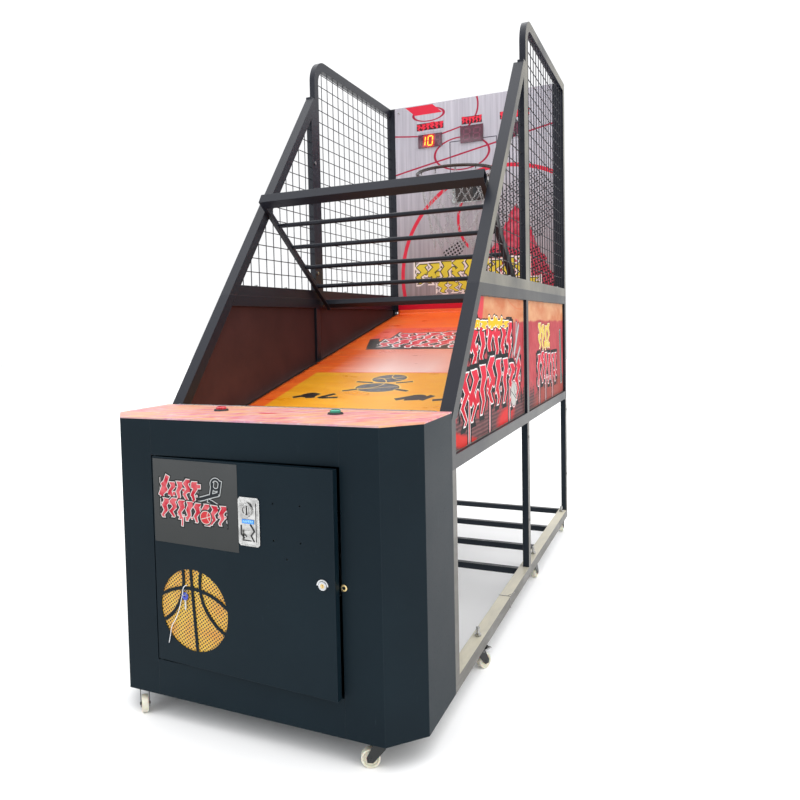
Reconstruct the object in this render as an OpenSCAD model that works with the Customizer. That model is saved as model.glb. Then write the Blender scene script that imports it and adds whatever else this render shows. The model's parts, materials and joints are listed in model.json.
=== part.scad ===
// Basketball hoop arcade machine: front cabinet, ramp, mesh cage, guard rack, backboard and hoop.
// Units are mm. X runs across the machine, the player stands at -Y, Z is up, and the origin
// is on the floor at the middle of the frame's footprint.

/* [Overall] */
// Length from the cabinet's face to the back posts
machine_length = 2500; // [2200:10:2800]
// Height to the top rails
machine_height = 2350; // [2150:10:2500]
// Width over the side frames
frame_width = 970; // [850:5:1100]
// Gap from the floor to the base rails and the cabinet's floor plate
floor_gap = 70; // [68:1:90]

/* [Cabinet] */
// Depth of the front cabinet
cabinet_depth = 340; // [300:5:400]
// Height of the control deck
console_height = 874; // [820:2:920]
// Corner chamfer, measured across the machine
chamfer_x = 83; // [60:1:110]
// Corner chamfer, measured front to back
chamfer_y = 98; // [60:1:120]
// Sheet steel thickness
sheet = 2; // [1.5:0.5:3]
// Control deck plate thickness
deck_plate = 4; // [3:0.5:6]
// Half the width of the door opening
opening_half = 294; // [260:1:320]
// Bottom of the door opening
opening_z0 = 174; // [150:1:220]
// Top of the door opening
opening_z1 = 768; // [700:1:800]
// Depth of the folded returns round the opening and the door
return_depth = 20; // [14:1:26]
// Distance of each push button from the middle of the deck
button_spacing = 190; // [120:5:260]
// Push button cap diameter
button_cap_d = 32; // [24:1:40]
// Push button bezel diameter
button_bezel_d = 46; // [36:1:56]
// Push button travel
button_travel = 3; // [2:0.5:5]

/* [Door] */
// Gap round the door
door_gap = 3.5; // [2:0.5:6]
// Angle the door stands ajar
door_ajar = 3; // [0:0.5:20]
// Pivot pin diameter
pivot_d = 8; // [6:1:12]
// Distance of the pivot from the door's face and edge
pivot_inset = 8; // [7:1:12]
// Diameter of the ball-shaped loudspeaker opening
grille_d = 232; // [180:2:260]
// Width of the steel bars left between the grille's segments
grille_bar = 9; // [6:1:14]
// Middle of the grille across the machine
grille_x = -158; // [-170:1:-140]
// Middle of the grille above the floor
grille_z = 338; // [320:1:360]
// Middle of the coin acceptor across the machine
coin_x = 38.5; // [20:0.5:80]
// Middle of the coin acceptor above the floor
coin_z = 610; // [560:1:640]
// Middle of the lock across the machine
lock_x = 256; // [240:1:265]
// Middle of the lock above the floor
lock_z = 470; // [400:1:520]

/* [Side frames] */
// Width of the frame tubes across the machine
tube_x = 25; // [20:1:40]
// Depth of the frame tubes in the plane of the side
tube_d = 40; // [30:1:50]
// Width of the sloping front posts and the base rails
post_x = 40; // [30:1:50]
// Tube wall
tube_wall = 1.5; // [1:0.1:3]
// Bottom of the side panels' sill rails
sill_z = 708; // [650:1:760]
// Joint between the lower and the upper side frames
joint_z = 1247; // [1150:1:1320]
// Front face of the middle posts
mid_y = 176; // [100:1:260]
// Front of the sloping post where it passes the control deck
slope_y0 = -889; // [-900:1:-860]
// Run of the sloping post for each mm of rise
slope_k = 0.8335; // [0.75:0.005:0.9]
// Radius of the rounded top corner
corner_r = 110; // [60:1:160]
// Wire mesh pitch front to back
mesh_y = 62; // [50:1:80]
// Wire mesh pitch up and down
mesh_z = 56; // [50:1:80]
// Wire diameter
wire_d = 4; // [3:0.5:6]

/* [Guard rack] */
// Front of the guard rack's arms
guard_y = -318; // [-340:1:-300]
// Height of the guard rack's arms there
guard_z = 1620; // [1560:1:1660]
// Slope of the guard rack
guard_angle = 34.4; // [30:0.1:36]
// Length of the arms
guard_length = 700; // [600:5:720]
// Guard rod diameter
rod_d = 18; // [14:1:25]

/* [Ramp and backboard] */
// Slope of the ramp
ramp_angle = 12; // [10:0.5:13]
// Top of the ramp at the cabinet
ramp_z0 = 735; // [731:1:760]
// Ramp board thickness
ramp_board = 12; // [9:1:18]
// Width of the printed ramp cover
cover_width = 876; // [800:2:890]
// Backboard thickness
board_t = 6; // [4:1:12]
// Bottom of the backboard
board_z0 = 1195; // [1180:1:1260]
// Front face of the backboard, measured from the machine's back
board_back = 46; // [44:1:90]

/* [Hoop] */
// Height of the hoop
hoop_z = 1890; // [1700:5:2000]
// Hoop diameter at the middle of the bar
hoop_d = 390; // [340:5:460]
// Hoop bar diameter
hoop_bar = 16; // [12:1:20]
// Gap from the hoop to the backboard's face
hoop_gap = 109; // [80:1:160]
// Length of the chain net
net_length = 370; // [280:5:450]
// Net diameter at its lower end
net_end_d = 230; // [160:5:300]

/* [Casters] */
// Wheel diameter
wheel_d = 50; // [40:1:54]
// Wheel width
wheel_w = 20; // [16:1:24]
// Distance of the wheel behind the swivel
trail = 25; // [20:1:30]
// Threaded stem diameter
stem_d = 12; // [10:1:14]
// Axle diameter
axle_d = 8; // [6:1:10]
// Length of the brake pedal beyond the swivel
pedal_length = 52; // [45:1:60]

/* [Fits] */
// Radial clearance of a turning pin in its hole
run_fit = 0.08; // [0.02:0.01:0.1]
// Radial clearance of a fixed part through a hole
loose_fit = 0.3; // [0.1:0.05:1]
// Hairline left at each end of a welded tube, so that it stays a piece of its own
weld_gap = 0.04; // [0.02:0.01:0.2]

/* [Hidden] */
HW = frame_width / 2;
YF = -machine_length / 2;
YB = machine_length / 2;
YR = YF + cabinet_depth;
z0 = floor_gap;
deck_z = console_height - deck_plate;
ch_len = sqrt(chamfer_x * chamfer_x + chamfer_y * chamfer_y);
function bend_y(s) = YF + chamfer_y + s * (ch_len - chamfer_y) / chamfer_x;
function bend_x(s) = HW - chamfer_x + s * (chamfer_x - ch_len) / chamfer_y;
function bevel_x(d, s) = HW - chamfer_x + (d * chamfer_x - s * ch_len) / chamfer_y;
dx0 = -opening_half + door_gap;
dx1 = opening_half - door_gap;
dz0 = opening_z0 + door_gap;
dz1 = opening_z1 - door_gap;
hinge_x = dx0 + pivot_inset;
hinge_y = YF + pivot_inset;
slope_a = atan(1 / slope_k);
dh = tube_d / sin(slope_a);
wh = tube_wall / sin(slope_a);
function sy(z) = slope_y0 + (z - console_height) * slope_k;
stub_z = console_height + (YR - slope_y0) / slope_k;
apex_z = console_height + (mid_y - slope_y0) / slope_k;
apex_in_z = console_height + (mid_y - dh - slope_y0) / slope_k;
rear_y = YB - tube_d;
board_y = YB - board_back;
base_z = z0 + tube_d;
HT = machine_height;
hoop_y = board_y - hoop_gap - hoop_d / 2;
bracket_t = 12;
stems = [
    [-376, YF + 32, 0, -139], [376, YF + 32, 0, 113],
    [-HW + post_x / 2, -583, 1, 28], [HW - post_x / 2, -583, 1, -28],
    [-HW + post_x / 2, 372, 1, 4], [HW - post_x / 2, 372, 1, -4],
    [-HW + post_x / 2, 1170, 1, -12], [HW - post_x / 2, 1170, 1, 12]];
$fn = 64;

// Both sides of the machine.
module both() {
    children();
    mirror([1, 0, 0]) children();
}

// A shape drawn in the side plane (Y, Z) and given a thickness across the machine.
module side_plate(x, t) {
    translate([x, 0, 0]) rotate([90, 0, 90]) linear_extrude(t) children();
}

// A hollow tube along Z, Y or X from its low corner.
module tube_v(p, w, d, h, t = tube_wall) {
    translate(p) difference() {
        translate([0, 0, weld_gap]) cube([w, d, h - 2 * weld_gap]);
        translate([t, t, -1]) cube([w - 2 * t, d - 2 * t, h + 2]);
    }
}
module tube_l(p, w, l, h, t = tube_wall) {
    translate(p) difference() {
        translate([0, weld_gap, 0]) cube([w, l - 2 * weld_gap, h]);
        translate([t, -1, t]) cube([w - 2 * t, l + 2, h - 2 * t]);
    }
}
module tube_c(p, l, d, h, t = tube_wall) {
    translate(p) difference() {
        translate([weld_gap, 0, 0]) cube([l - 2 * weld_gap, d, h]);
        translate([-1, t, t]) cube([l + 2, d - 2 * t, h - 2 * t]);
    }
}

// A hollow tube whose outline in the side plane is cut at an angle.
module tube_s(x, w, outer, inner) {
    difference() {
        side_plate(x, w) polygon(outer);
        side_plate(x + tube_wall, w - 2 * tube_wall) polygon(inner);
    }
}

// Cabinet ---------------------------------------------------------------------------------

module cabinet_corners() color([0.14, 0.17, 0.2]) both()
    translate([0, 0, z0]) linear_extrude(deck_z - z0) polygon([
        [HW, YR], [HW, bend_y(0)], [bend_x(0), YF], [opening_half + 0.4, YF],
        [opening_half + 0.4, YF + return_depth], [opening_half + 0.4 + sheet, YF + return_depth],
        [opening_half + 0.4 + sheet, YF + sheet], [bend_x(sheet), YF + sheet],
        [HW - sheet, bend_y(sheet)], [HW - sheet, YR]]);

module front_strip(za, zb, flange_z) {
    translate([-opening_half, YF, za]) cube([2 * opening_half, sheet, zb - za]);
    translate([-opening_half, YF + sheet, flange_z])
        cube([2 * opening_half, return_depth - sheet, sheet]);
}
module cabinet_front() color([0.14, 0.17, 0.2]) {
    front_strip(opening_z1, deck_z, opening_z1);
    front_strip(z0, opening_z0, opening_z0 - sheet);
    // pivot pins with their collars, welded to the returns
    for (s = [0, 1]) translate([hinge_x, hinge_y, s ? opening_z1 : opening_z0])
        mirror([0, 0, s]) {
            cylinder(d = pivot_d + 6, h = door_gap - 1);
            cylinder(d = pivot_d, h = door_gap + sheet + 8);
        }
}

module cabinet_back() color([0.14, 0.17, 0.2]) {
    difference() {
        translate([0, 0, z0]) linear_extrude(sheet) polygon([
            [HW - sheet, YR], [HW - sheet, bend_y(sheet)],
            [bevel_x(return_depth, sheet), YF + return_depth],
            [-bevel_x(return_depth, sheet), YF + return_depth],
            [-HW + sheet, bend_y(sheet)], [-HW + sheet, YR]]);
        for (s = stems) if (s[2] == 0)
            translate([s[0], s[1], z0 - 1]) cylinder(r = stem_d / 2 + loose_fit, h = sheet + 2);
    }
    difference() {
        translate([-HW + sheet, YR - sheet, z0 + sheet])
            cube([2 * (HW - sheet), sheet, deck_z - z0 - sheet]);
        translate([inlet_x - 24, YR - sheet - 1, inlet_z - 14]) cube([48, sheet + 2, 28]);
    }
}
inlet_x = 300;
inlet_z = 140;

module console_outline() polygon([
    [HW, YR], [HW, bend_y(0)], [bend_x(0), YF],
    [-bend_x(0), YF], [-HW, bend_y(0)], [-HW, YR]]);
button_y = YF + 210;
barrel_d = button_cap_d - 4;
module console_top() color([0.95, 0.7, 0.68]) difference() {
    translate([0, 0, deck_z]) linear_extrude(deck_plate) console_outline();
    both() translate([button_spacing, button_y, deck_z - 1])
        cylinder(r = barrel_d / 2 + 2 + loose_fit, h = deck_plate + 2);
}
module console_trim() color([0.7, 0.72, 0.74]) {
    w = HW - post_x - 1;
    translate([-w, YR - 12, console_height]) cube([2 * w, 12, 1.5]);
    translate([-w, YR + 0.1, console_height - 22]) cube([2 * w, 1.5, 23.5]);
    translate([-w, YR, console_height]) cube([2 * w, 0.1, 1.5]);
}

// A push button: bezel, barrel, nut and switch stay put, the cap slides in the barrel.
cap_stroke = button_travel + 1;
module button_bezel() {
    difference() {
        union() {
            translate([0, 0, console_height]) cylinder(d1 = button_bezel_d,
                d2 = button_bezel_d - 5, h = 5);
            translate([0, 0, deck_z - 34])
                cylinder(d = barrel_d + 4, h = 34 + deck_plate + 0.5);
            translate([0, 0, deck_z - 6]) cylinder(d = (barrel_d + 14) * 2 / sqrt(3), h = 6, $fn = 6);
        }
        translate([0, 0, deck_z - 30]) cylinder(r = barrel_d / 2 + run_fit, h = 60);
        translate([0, 0, console_height + 1]) cylinder(r = button_cap_d / 2 + run_fit, h = 10);
    }
    translate([-10, -6, deck_z - 60]) cube([20, 12, 26]);
}
module button_cap(x, c) color(c) translate([x, button_y, console_height]) {
    translate([0, 0, 1 + cap_stroke]) cylinder(d = button_cap_d, h = 5);
    translate([0, 0, 6 + cap_stroke]) cylinder(d1 = button_cap_d, d2 = button_cap_d - 8, h = 3);
    translate([0, 0, -22]) cylinder(d = barrel_d, h = 23 + cap_stroke);
}
module button_bezels() color([0.06, 0.06, 0.07]) both()
    translate([button_spacing, button_y, 0]) button_bezel();
module button_red() button_cap(-button_spacing, [0.85, 0.08, 0.1]);
module button_green() button_cap(button_spacing, [0.1, 0.6, 0.3]);

// Door ------------------------------------------------------------------------------------

// Turns the closed door's parts to the angle at which it stands ajar.
module on_door() {
    translate([hinge_x, hinge_y, 0]) rotate([0, 0, -door_ajar])
        translate([-hinge_x, -hinge_y, 0]) children();
}
// A flat shape drawn in (X, Z), starting at depth y behind the door's face.
module face_plate(y, t) {
    translate([0, YF + y + t, 0]) rotate([90, 0, 0]) linear_extrude(t) children();
}
// One seam of the ball, a ring through the disc; c and r are in units of the disc's radius.
module seam(cx, cz, r) translate([cx, cz] * grille_d / 2) difference() {
    circle(r = r * grille_d / 2 + grille_bar / 2, $fn = 96);
    circle(r = r * grille_d / 2 - grille_bar / 2, $fn = 96);
}
module ball_segments() translate([grille_x, grille_z]) difference() {
    circle(d = grille_d, $fn = 96);
    rotate(4) translate([-grille_bar / 2, -grille_d]) square([grille_bar, 2 * grille_d]);
    seam(-0.05, -1.21, 1.74);
    seam(1.38, 0.66, 1.18);
    seam(-1.55, 0.73, 1.26);
}
spare_holes = [[113, 665], [194, 666], [113, 568], [194, 570], [152, 523]];

module door_panel() color([0.13, 0.16, 0.19]) on_door() difference() {
    translate([dx0, YF, dz0]) cube([dx1 - dx0, return_depth + sheet, dz1 - dz0]);
    translate([dx0 + sheet, YF + sheet, dz0 + sheet])
        cube([dx1 - dx0 - 2 * sheet, return_depth + sheet, dz1 - dz0 - 2 * sheet]);
    face_plate(-1, sheet + 2) ball_segments();
    translate([coin_x - 30.5, YF - 1, coin_z - 61]) cube([61, sheet + 2, 122]);
    translate([lock_x, YF + sheet + 1, lock_z]) rotate([90, 0, 0])
        cylinder(r = 9 + loose_fit, h = sheet + 2);
    for (h = spare_holes) translate([h[0], YF + sheet + 1, h[1]]) rotate([90, 0, 0])
        cylinder(d = 5, h = sheet + 2, $fn = 24);
    for (z = [dz0 - 1, dz1 - sheet - 1]) translate([hinge_x, hinge_y, z])
        cylinder(r = pivot_d / 2 + run_fit, h = sheet + 2);
}

module poster_plate() color([0.32, 0.33, 0.33]) on_door()
    translate([dx0 + 3, YF - 1, 522]) cube([coin_x - 36 - dx0 - 3, 1, 237]);

module speaker_grille() color([0.95, 0.78, 0.2]) on_door()
    face_plate(sheet, 1.2) translate([grille_x, grille_z]) difference() {
        circle(d = grille_d + 8, $fn = 96);
        for (i = [-5:5], j = [-6:6])
            if (norm([i * 20 + (abs(j) % 2) * 10, j * 17.3]) < grille_d / 2 - 8)
                translate([i * 20 + (abs(j) % 2) * 10, j * 17.3]) circle(d = 11, $fn = 24);
    }

module speaker() color([0.1, 0.1, 0.11]) on_door()
    translate([grille_x, YF + sheet + 1.2, grille_z]) rotate([-90, 0, 0]) rotate_extrude()
        polygon([[0, 12], [22, 12], [30, 22], [84, 8], [92, 3], [92, 0], [112, 0], [112, 3],
                 [98, 5], [96, 12], [48, 46], [46, 48], [46, 72], [0, 72]]);

module coin_acceptor() on_door() color([0.75, 0.76, 0.76]) {
    difference() {
        union() {
            face_plate(-3, 3) polygon([
                for (p = [[-33.5, -58], [-27.5, -65], [27.5, -65], [33.5, -59], [33.5, 59],
                          [27.5, 65], [-27.5, 65], [-33.5, 58]]) [coin_x + p[0], coin_z + p[1]]]);
            face_plate(-6, 3) translate([coin_x - 4, coin_z + 32]) circle(d = 34);
            face_plate(0, 54) translate([coin_x - 30, coin_z - 60]) square([60, 120]);
        }
        // coin slot and the channel behind it
        translate([coin_x - 6, YF - 7, coin_z + 18]) cube([4, 45, 29]);
        translate([coin_x - 6, YF + 10, coin_z - 61]) cube([4, 28, 90]);
        // return mouth, cut up into the body, and its cup
        translate([coin_x - 22, YF - 4, coin_z - 52]) cube([30, 30, 30]);
    }
    // blue label's raised pad
    face_plate(-4.2, 1.2) translate([coin_x - 20, coin_z - 4]) square([36, 10]);
    // chute that leads coins back over the cash box
    translate([coin_x - 14, 0, 0]) side_plate(0, 20) polygon([
        [YF + 14, coin_z - 60], [YF + 40, coin_z - 60], [YF + 100, coin_z - 150],
        [YF + 100, coin_z - 153], [YF + 96, coin_z - 153], [YF + 38, coin_z - 66],
        [YF + 14, coin_z - 66]]);
}
flap_z = coin_z - 24;
module coin_return_flap() on_door() color([0.55, 0.56, 0.57])
    translate([coin_x - 21.5, YF, flap_z]) {
        translate([0, 3, 0]) rotate([0, 90, 0]) cylinder(d = 3, h = 29, $fn = 32);
        translate([0, 2.2, -26.5]) cube([29, 1.6, 26.5]);
    }

lock_r = 9;
plug_r = 6;
module lock_body() color([0.78, 0.78, 0.76]) on_door() translate([lock_x, YF, lock_z]) {
    rotate([90, 0, 0]) difference() {
        union() {
            translate([0, 0, -24]) cylinder(r = lock_r, h = 24);
            cylinder(r1 = 12.5, r2 = 11, h = 4);
            translate([0, 0, -sheet - 5]) cylinder(d = 26, h = 5, $fn = 6);
        }
        translate([0, 0, -25]) cylinder(r = plug_r + run_fit, h = 40);
    }
    // dust hood over the keyway
    rotate([90, 0, 0]) difference() {
        cylinder(r = 16.5, h = 3);
        translate([0, 0, -1]) cylinder(r = 12.9, h = 5);
        translate([-20, -30, -1]) cube([40, 30, 5]);
    }
    rotate([90, 0, 0]) difference() {
        cylinder(r = 16.5, h = 0.8);
        translate([0, 0, -1]) cylinder(r = 12.4, h = 5);
        translate([-20, -30, -1]) cube([40, 30, 5]);
    }
}
module lock_cam() color([0.7, 0.66, 0.5]) on_door() translate([lock_x, YF, lock_z])
    rotate([90, 0, 0]) difference() {
        union() {
            translate([0, 0, -25]) cylinder(r = plug_r, h = 28.5);
            translate([-7, -8, -27]) cube([14, 54, 2]);
        }
        translate([-1, -4, 1]) cube([2, 8, 4]);
    }
module lock_strike() color([0.75, 0.6, 0.3])
    translate([opening_half + 7, YF, lock_z - 8]) rotate([90, 0, 0]) difference() {
        cylinder(d = 17, h = 3);
        translate([0, 0, -1]) cylinder(d = 9, h = 5);
    }

key_x = grille_x - 27;
key_z = grille_z + 38;
module spare_key() on_door() {
    color([0.1, 0.2, 0.75]) translate([key_x, YF - 1.5, key_z]) rotate([90, 0, 0])
        difference() {
            cylinder(d = 22, h = 3);
            translate([0, 6.5, -1]) cylinder(d = 5, h = 5, $fn = 32);
        }
    color([0.8, 0.8, 0.8]) translate([key_x - 3.5, YF - 3.8, key_z - 38])
        cube([7, 1.8, 27.6]);
    color([0.92, 0.92, 0.92]) translate([key_x - 2, YF - 1.5, key_z])
        rotate([0, 28, 0]) translate([-1.5, 0, -150]) cube([3, 1.5, 152]);
    color([0.92, 0.92, 0.92]) translate([key_x, YF - 3, key_z + 12]) rotate([0, 90, 0])
        rotate_extrude() translate([4.5, 0]) circle(d = 2, $fn = 24);
}

// Inside the cabinet -------------------------------------------------------------------------

module control_box() color([0.6, 0.62, 0.6]) {
    translate([-150, YR - sheet - 84, 320]) difference() {
        cube([300, 84, 240]);
        for (i = [0:5]) translate([30 + i * 42, -1, 200]) cube([24, 3, 5]);
    }
    // mains inlet through the back wall
    translate([inlet_x - 23.5, YR - sheet - 24, inlet_z - 13.5]) cube([47, 24 + sheet, 27]);
    translate([inlet_x - 32, YR, inlet_z - 17]) difference() {
        cube([64, 3, 34]);
        translate([20, 1, 6]) cube([24, 3, 22]);
    }
}
module cash_box() color([0.4, 0.42, 0.44]) translate([coin_x - 70, YF + 62, z0 + sheet])
    difference() {
        cube([140, 150, 180]);
        translate([1.5, 1.5, 1.5]) cube([137, 147, 180]);
    }

// Side frames --------------------------------------------------------------------------------

xo = HW - tube_x;
xp = HW - post_x;
leg_ys = [YR, mid_y, rear_y];
bar_ys = [145, 488, 838, 1218];
module base_frame() color([0.72, 0.7, 0.6]) {
    both() {
        difference() {
            tube_l([xp, YR, z0], post_x, YB - YR, tube_d);
            for (s = stems) if (s[2] == 1 && s[0] > 0)
                translate([s[0], s[1], z0 - 1]) cylinder(r = stem_d / 2 + loose_fit, h = tube_d + 2);
        }
        for (y = leg_ys) tube_v([xo, y, base_z], tube_x, tube_d, sill_z - base_z);
    }
    for (y = bar_ys) tube_c([-xp, y, base_z - 25], 2 * xp, 25, 25);
}

module lower_frame() {
    rail_z = joint_z - tube_d;
    g = weld_gap;
    tube_l([xo, YR, sill_z], tube_x, YB - YR, tube_d);
    tube_v([xo, YR, sill_z + tube_d], tube_x, tube_d, stub_z - sill_z - tube_d);
    tube_s(xp, post_x,
        [[sy(stub_z + g), stub_z + g], [sy(joint_z), joint_z], [sy(joint_z) + dh, joint_z],
         [sy(stub_z + g) + dh, stub_z + g]],
        [[sy(stub_z - 1) + wh, stub_z - 1], [sy(joint_z + 1) + wh, joint_z + 1],
         [sy(joint_z + 1) + dh - wh, joint_z + 1], [sy(stub_z - 1) + dh - wh, stub_z - 1]]);
    tube_s(xo, tube_x,
        [[sy(rail_z) + dh + 2 * g, rail_z], [sy(joint_z) + dh + 2 * g, joint_z],
         [YB, joint_z], [YB, rail_z]],
        [[sy(rail_z) + dh - 5, rail_z + tube_wall], [sy(joint_z) + dh - 5, joint_z - tube_wall],
         [YB + 1, joint_z - tube_wall], [YB + 1, rail_z + tube_wall]]);
    for (y = [mid_y, rear_y])
        tube_v([xo, y, sill_z + tube_d], tube_x, tube_d, rail_z - sill_z - tube_d);
}
module lower_frame_right() color([0.15, 0.15, 0.18]) lower_frame();
module lower_frame_left() color([0.15, 0.15, 0.18]) mirror([1, 0, 0]) lower_frame();

module side_panels() color([0.3, 0.17, 0.17]) both() {
    zb = sill_z + tube_d;
    zt = joint_z - tube_d;
    side_plate(xo + tube_x / 2 - 1, 2) polygon([
        [YR + tube_d, zb], [YR + tube_d, stub_z], [sy(stub_z) + dh, stub_z],
        [sy(zt) + dh, zt], [mid_y, zt], [mid_y, zb]]);
    translate([xo + tube_x / 2 - 1, mid_y + tube_d, zb])
        cube([2, rear_y - mid_y - tube_d, zt - zb]);
}

module front_frame() {
    ra = joint_z + tube_d;
    wv = wh / slope_k;
    g = weld_gap;
    tube_s(xp, post_x,
        [[sy(joint_z), joint_z], [mid_y - g, apex_z], [mid_y - g, apex_in_z],
         [sy(joint_z) + dh, joint_z]],
        [[sy(joint_z - 1) + wh, joint_z - 1], [mid_y + 1, apex_z - wv + 1.2],
         [mid_y + 1, apex_in_z + wv + 1.2], [sy(joint_z - 1) + dh - wh, joint_z - 1]]);
    tube_s(xo, tube_x,
        [[sy(joint_z) + dh + 2 * g, joint_z], [sy(ra) + dh + 2 * g, ra],
         [mid_y - g, ra], [mid_y - g, joint_z]],
        [[sy(joint_z) + dh - 5, joint_z + tube_wall], [sy(ra) + dh - 5, ra - tube_wall],
         [mid_y + 1, ra - tube_wall], [mid_y + 1, joint_z + tube_wall]]);
    tube_v([xo, mid_y, joint_z], tube_x, tube_d, apex_z + 9 - joint_z);
}
module front_frame_right() color([0.15, 0.15, 0.18]) front_frame();
module front_frame_left() color([0.15, 0.15, 0.18]) mirror([1, 0, 0]) front_frame();

py = mid_y + tube_d;
module quarter(r) intersection() {
    circle(r = r, $fn = 96);
    translate([-2 * r, 0]) square([2 * r, 2 * r]);
}
module rear_frame() {
    tube_v([xo, py, joint_z], tube_x, tube_d, HT - corner_r - joint_z);
    difference() {
        side_plate(xo, tube_x) translate([py + corner_r, HT - corner_r]) difference() {
            quarter(corner_r);
            circle(r = corner_r - tube_d, $fn = 96);
        }
        side_plate(xo + tube_wall, tube_x - 2 * tube_wall)
            translate([py + corner_r, HT - corner_r]) difference() {
                circle(r = corner_r - tube_wall, $fn = 96);
                circle(r = corner_r - tube_d + tube_wall, $fn = 96);
            }
    }
    tube_l([xo, py + corner_r, HT - tube_d], tube_x, YB - py - corner_r, tube_d);
    tube_l([xo, py + tube_d, joint_z], tube_x, rear_y - py - tube_d, tube_d);
    tube_v([xo, rear_y, joint_z], tube_x, tube_d, HT - tube_d - joint_z);
}
module rear_frame_right() color([0.15, 0.15, 0.18]) rear_frame();
module rear_frame_left() color([0.15, 0.15, 0.18]) mirror([1, 0, 0]) rear_frame();

mesh_x = xo + tube_x / 2 - wire_d / 2;
module wires(ya, yb, za, zb) {
    for (i = [1:floor((yb - ya) / mesh_y)])
        translate([ya + i * mesh_y - wire_d / 2, za]) square([wire_d, zb - za]);
    for (i = [1:floor((zb - za) / mesh_z)])
        translate([ya, za + i * mesh_z - wire_d / 2]) square([yb - ya, wire_d]);
}
module mesh_panels() color([0.1, 0.1, 0.11]) both() {
    ra = joint_z + tube_d;
    side_plate(mesh_x, wire_d) intersection() {
        polygon([[sy(ra) + dh, ra], [mid_y, apex_in_z], [mid_y, ra]]);
        wires(sy(ra) + dh, mid_y, ra, apex_in_z);
    }
    side_plate(mesh_x, wire_d) intersection() {
        union() {
            translate([py + corner_r, ra]) square([rear_y - py - corner_r, HT - tube_d - ra]);
            translate([py + tube_d, ra]) square([corner_r - tube_d, HT - corner_r - ra]);
            translate([py + corner_r, HT - corner_r]) circle(r = corner_r - tube_d, $fn = 96);
        }
        wires(py + tube_d, rear_y, ra, HT - tube_d);
    }
}

// Guard rack, drawn along its arms and then tipped -----------------------------------------------

arm_w = 18;
module on_guard() translate([0, guard_y, guard_z]) rotate([-guard_angle, 0, 0]) children();
rod_step = (guard_length - 10) / 5;
module guard_rack() color([0.14, 0.15, 0.18]) on_guard() {
    w = xp - 0.1;
    g = weld_gap;
    translate([-w, -20, -20]) difference() {
        cube([2 * w, 40, 40]);
        translate([-1, tube_wall, tube_wall]) cube([2 * w + 2, 37, 37]);
    }
    both() translate([w - arm_w, 20 + g, -20]) difference() {
        cube([arm_w, guard_length, 36]);
        translate([-1, -1, 4]) cube([arm_w - 3, guard_length + 2, 40]);
    }
    for (i = [1:4]) translate([-w + 3 + g, rod_step * i, -16 + g + rod_d / 2]) rotate([0, 90, 0])
        cylinder(d = rod_d, h = 2 * (w - 3 - g), $fn = 48);
    translate([-w + 3 + g, rod_step * 5 - 12, -16 + g]) cube([2 * (w - 3 - g), 30, 25]);
}

// Bolts and nuts of the frames, and the wire tie round the right base rail --------------------------

module hex(d, h) cylinder(d = d * 2 / sqrt(3), h = h, $fn = 6);
module frame_bolts() color([0.75, 0.76, 0.76]) {
    both() {
        on_guard() translate([xp - 10.1, 32, 2]) rotate([0, 90, 0]) hex(13, 6);
        on_guard() translate([xp - 0.1, guard_length - 6, -4]) rotate([0, 90, 0])
            cylinder(d = 20, h = tube_x > post_x ? 1 : post_x - tube_x + 0.1, $fn = 48);
        // each midway between two upright wires of the mesh
        for (y = [sy(joint_z + tube_d) + dh + 2.5 * mesh_y, sy(joint_z + tube_d) + dh + 6.5 * mesh_y,
                  py + tube_d + 4.5 * mesh_y, py + tube_d + 12.5 * mesh_y])
            translate([xo + tube_x / 2, y, joint_z + tube_d]) hex(13, 5.5);
        for (y = [mid_y + 20, rear_y + 20], z = [sill_z - 60, 305])
            translate([HW, y, z]) rotate([0, 90, 0]) hex(10, 4);
        for (z = [joint_z + 120, joint_z + 620])
            translate([xo - 5.5, py - 18, z]) rotate([0, 90, 0]) hex(13, 5.5);
    }
    difference() {
        translate([xp - 1.6, -190, z0 - 1.6]) cube([post_x + 3.2, 4, tube_d + 3.2]);
        translate([xp, -191, z0]) cube([post_x, 6, tube_d]);
    }
    translate([HW - 12, -190, base_z + 1.6]) rotate([0, 60, 0]) cube([1.5, 4, 34]);
}

// Backboard ---------------------------------------------------------------------------------------

module backboard_frame() color([0.15, 0.15, 0.18]) {
    ux = xo - tube_x;
    both() tube_v([ux, board_y, board_z0], tube_x, YB - board_y, HT - board_z0);
    for (z = [board_z0 + 30, hoop_z - 70, HT - 40])
        tube_c([-ux, board_y + board_t, z], 2 * ux, 25, 25);
}
led_time = [8, 2152, 125, 91];
led_high = [-228, 2145, 137, 73];
led_score = [238, 2145, 137, 73];
module backboard() color([0.78, 0.77, 0.8]) {
    ux = xo - tube_x;
    difference() {
        translate([-ux, board_y, board_z0]) cube([2 * ux, board_t, HT - board_z0]);
        for (x = [-ux + 24, ux - 24], z = [board_z0 + 42, HT - 28])
            translate([x, board_y - 1, z]) rotate([-90, 0, 0]) cylinder(d = 6, h = board_t + 2);
    }
    // name strips above the counters
    for (d = [led_time, led_high, led_score])
        translate([d[0] - d[2] / 2 + 3, board_y - 1, d[1] + d[3] / 2 + 10])
            cube([d[2] - 6, 1, 34]);
}
module displays() color([0.2, 0.03, 0.06])
    for (d = [led_time, led_high, led_score])
        translate([d[0] - d[2] / 2, board_y - 8, d[1] - d[3] / 2]) cube([d[2], 8, d[3]]);

// Hoop -----------------------------------------------------------------------------------------------

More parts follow.
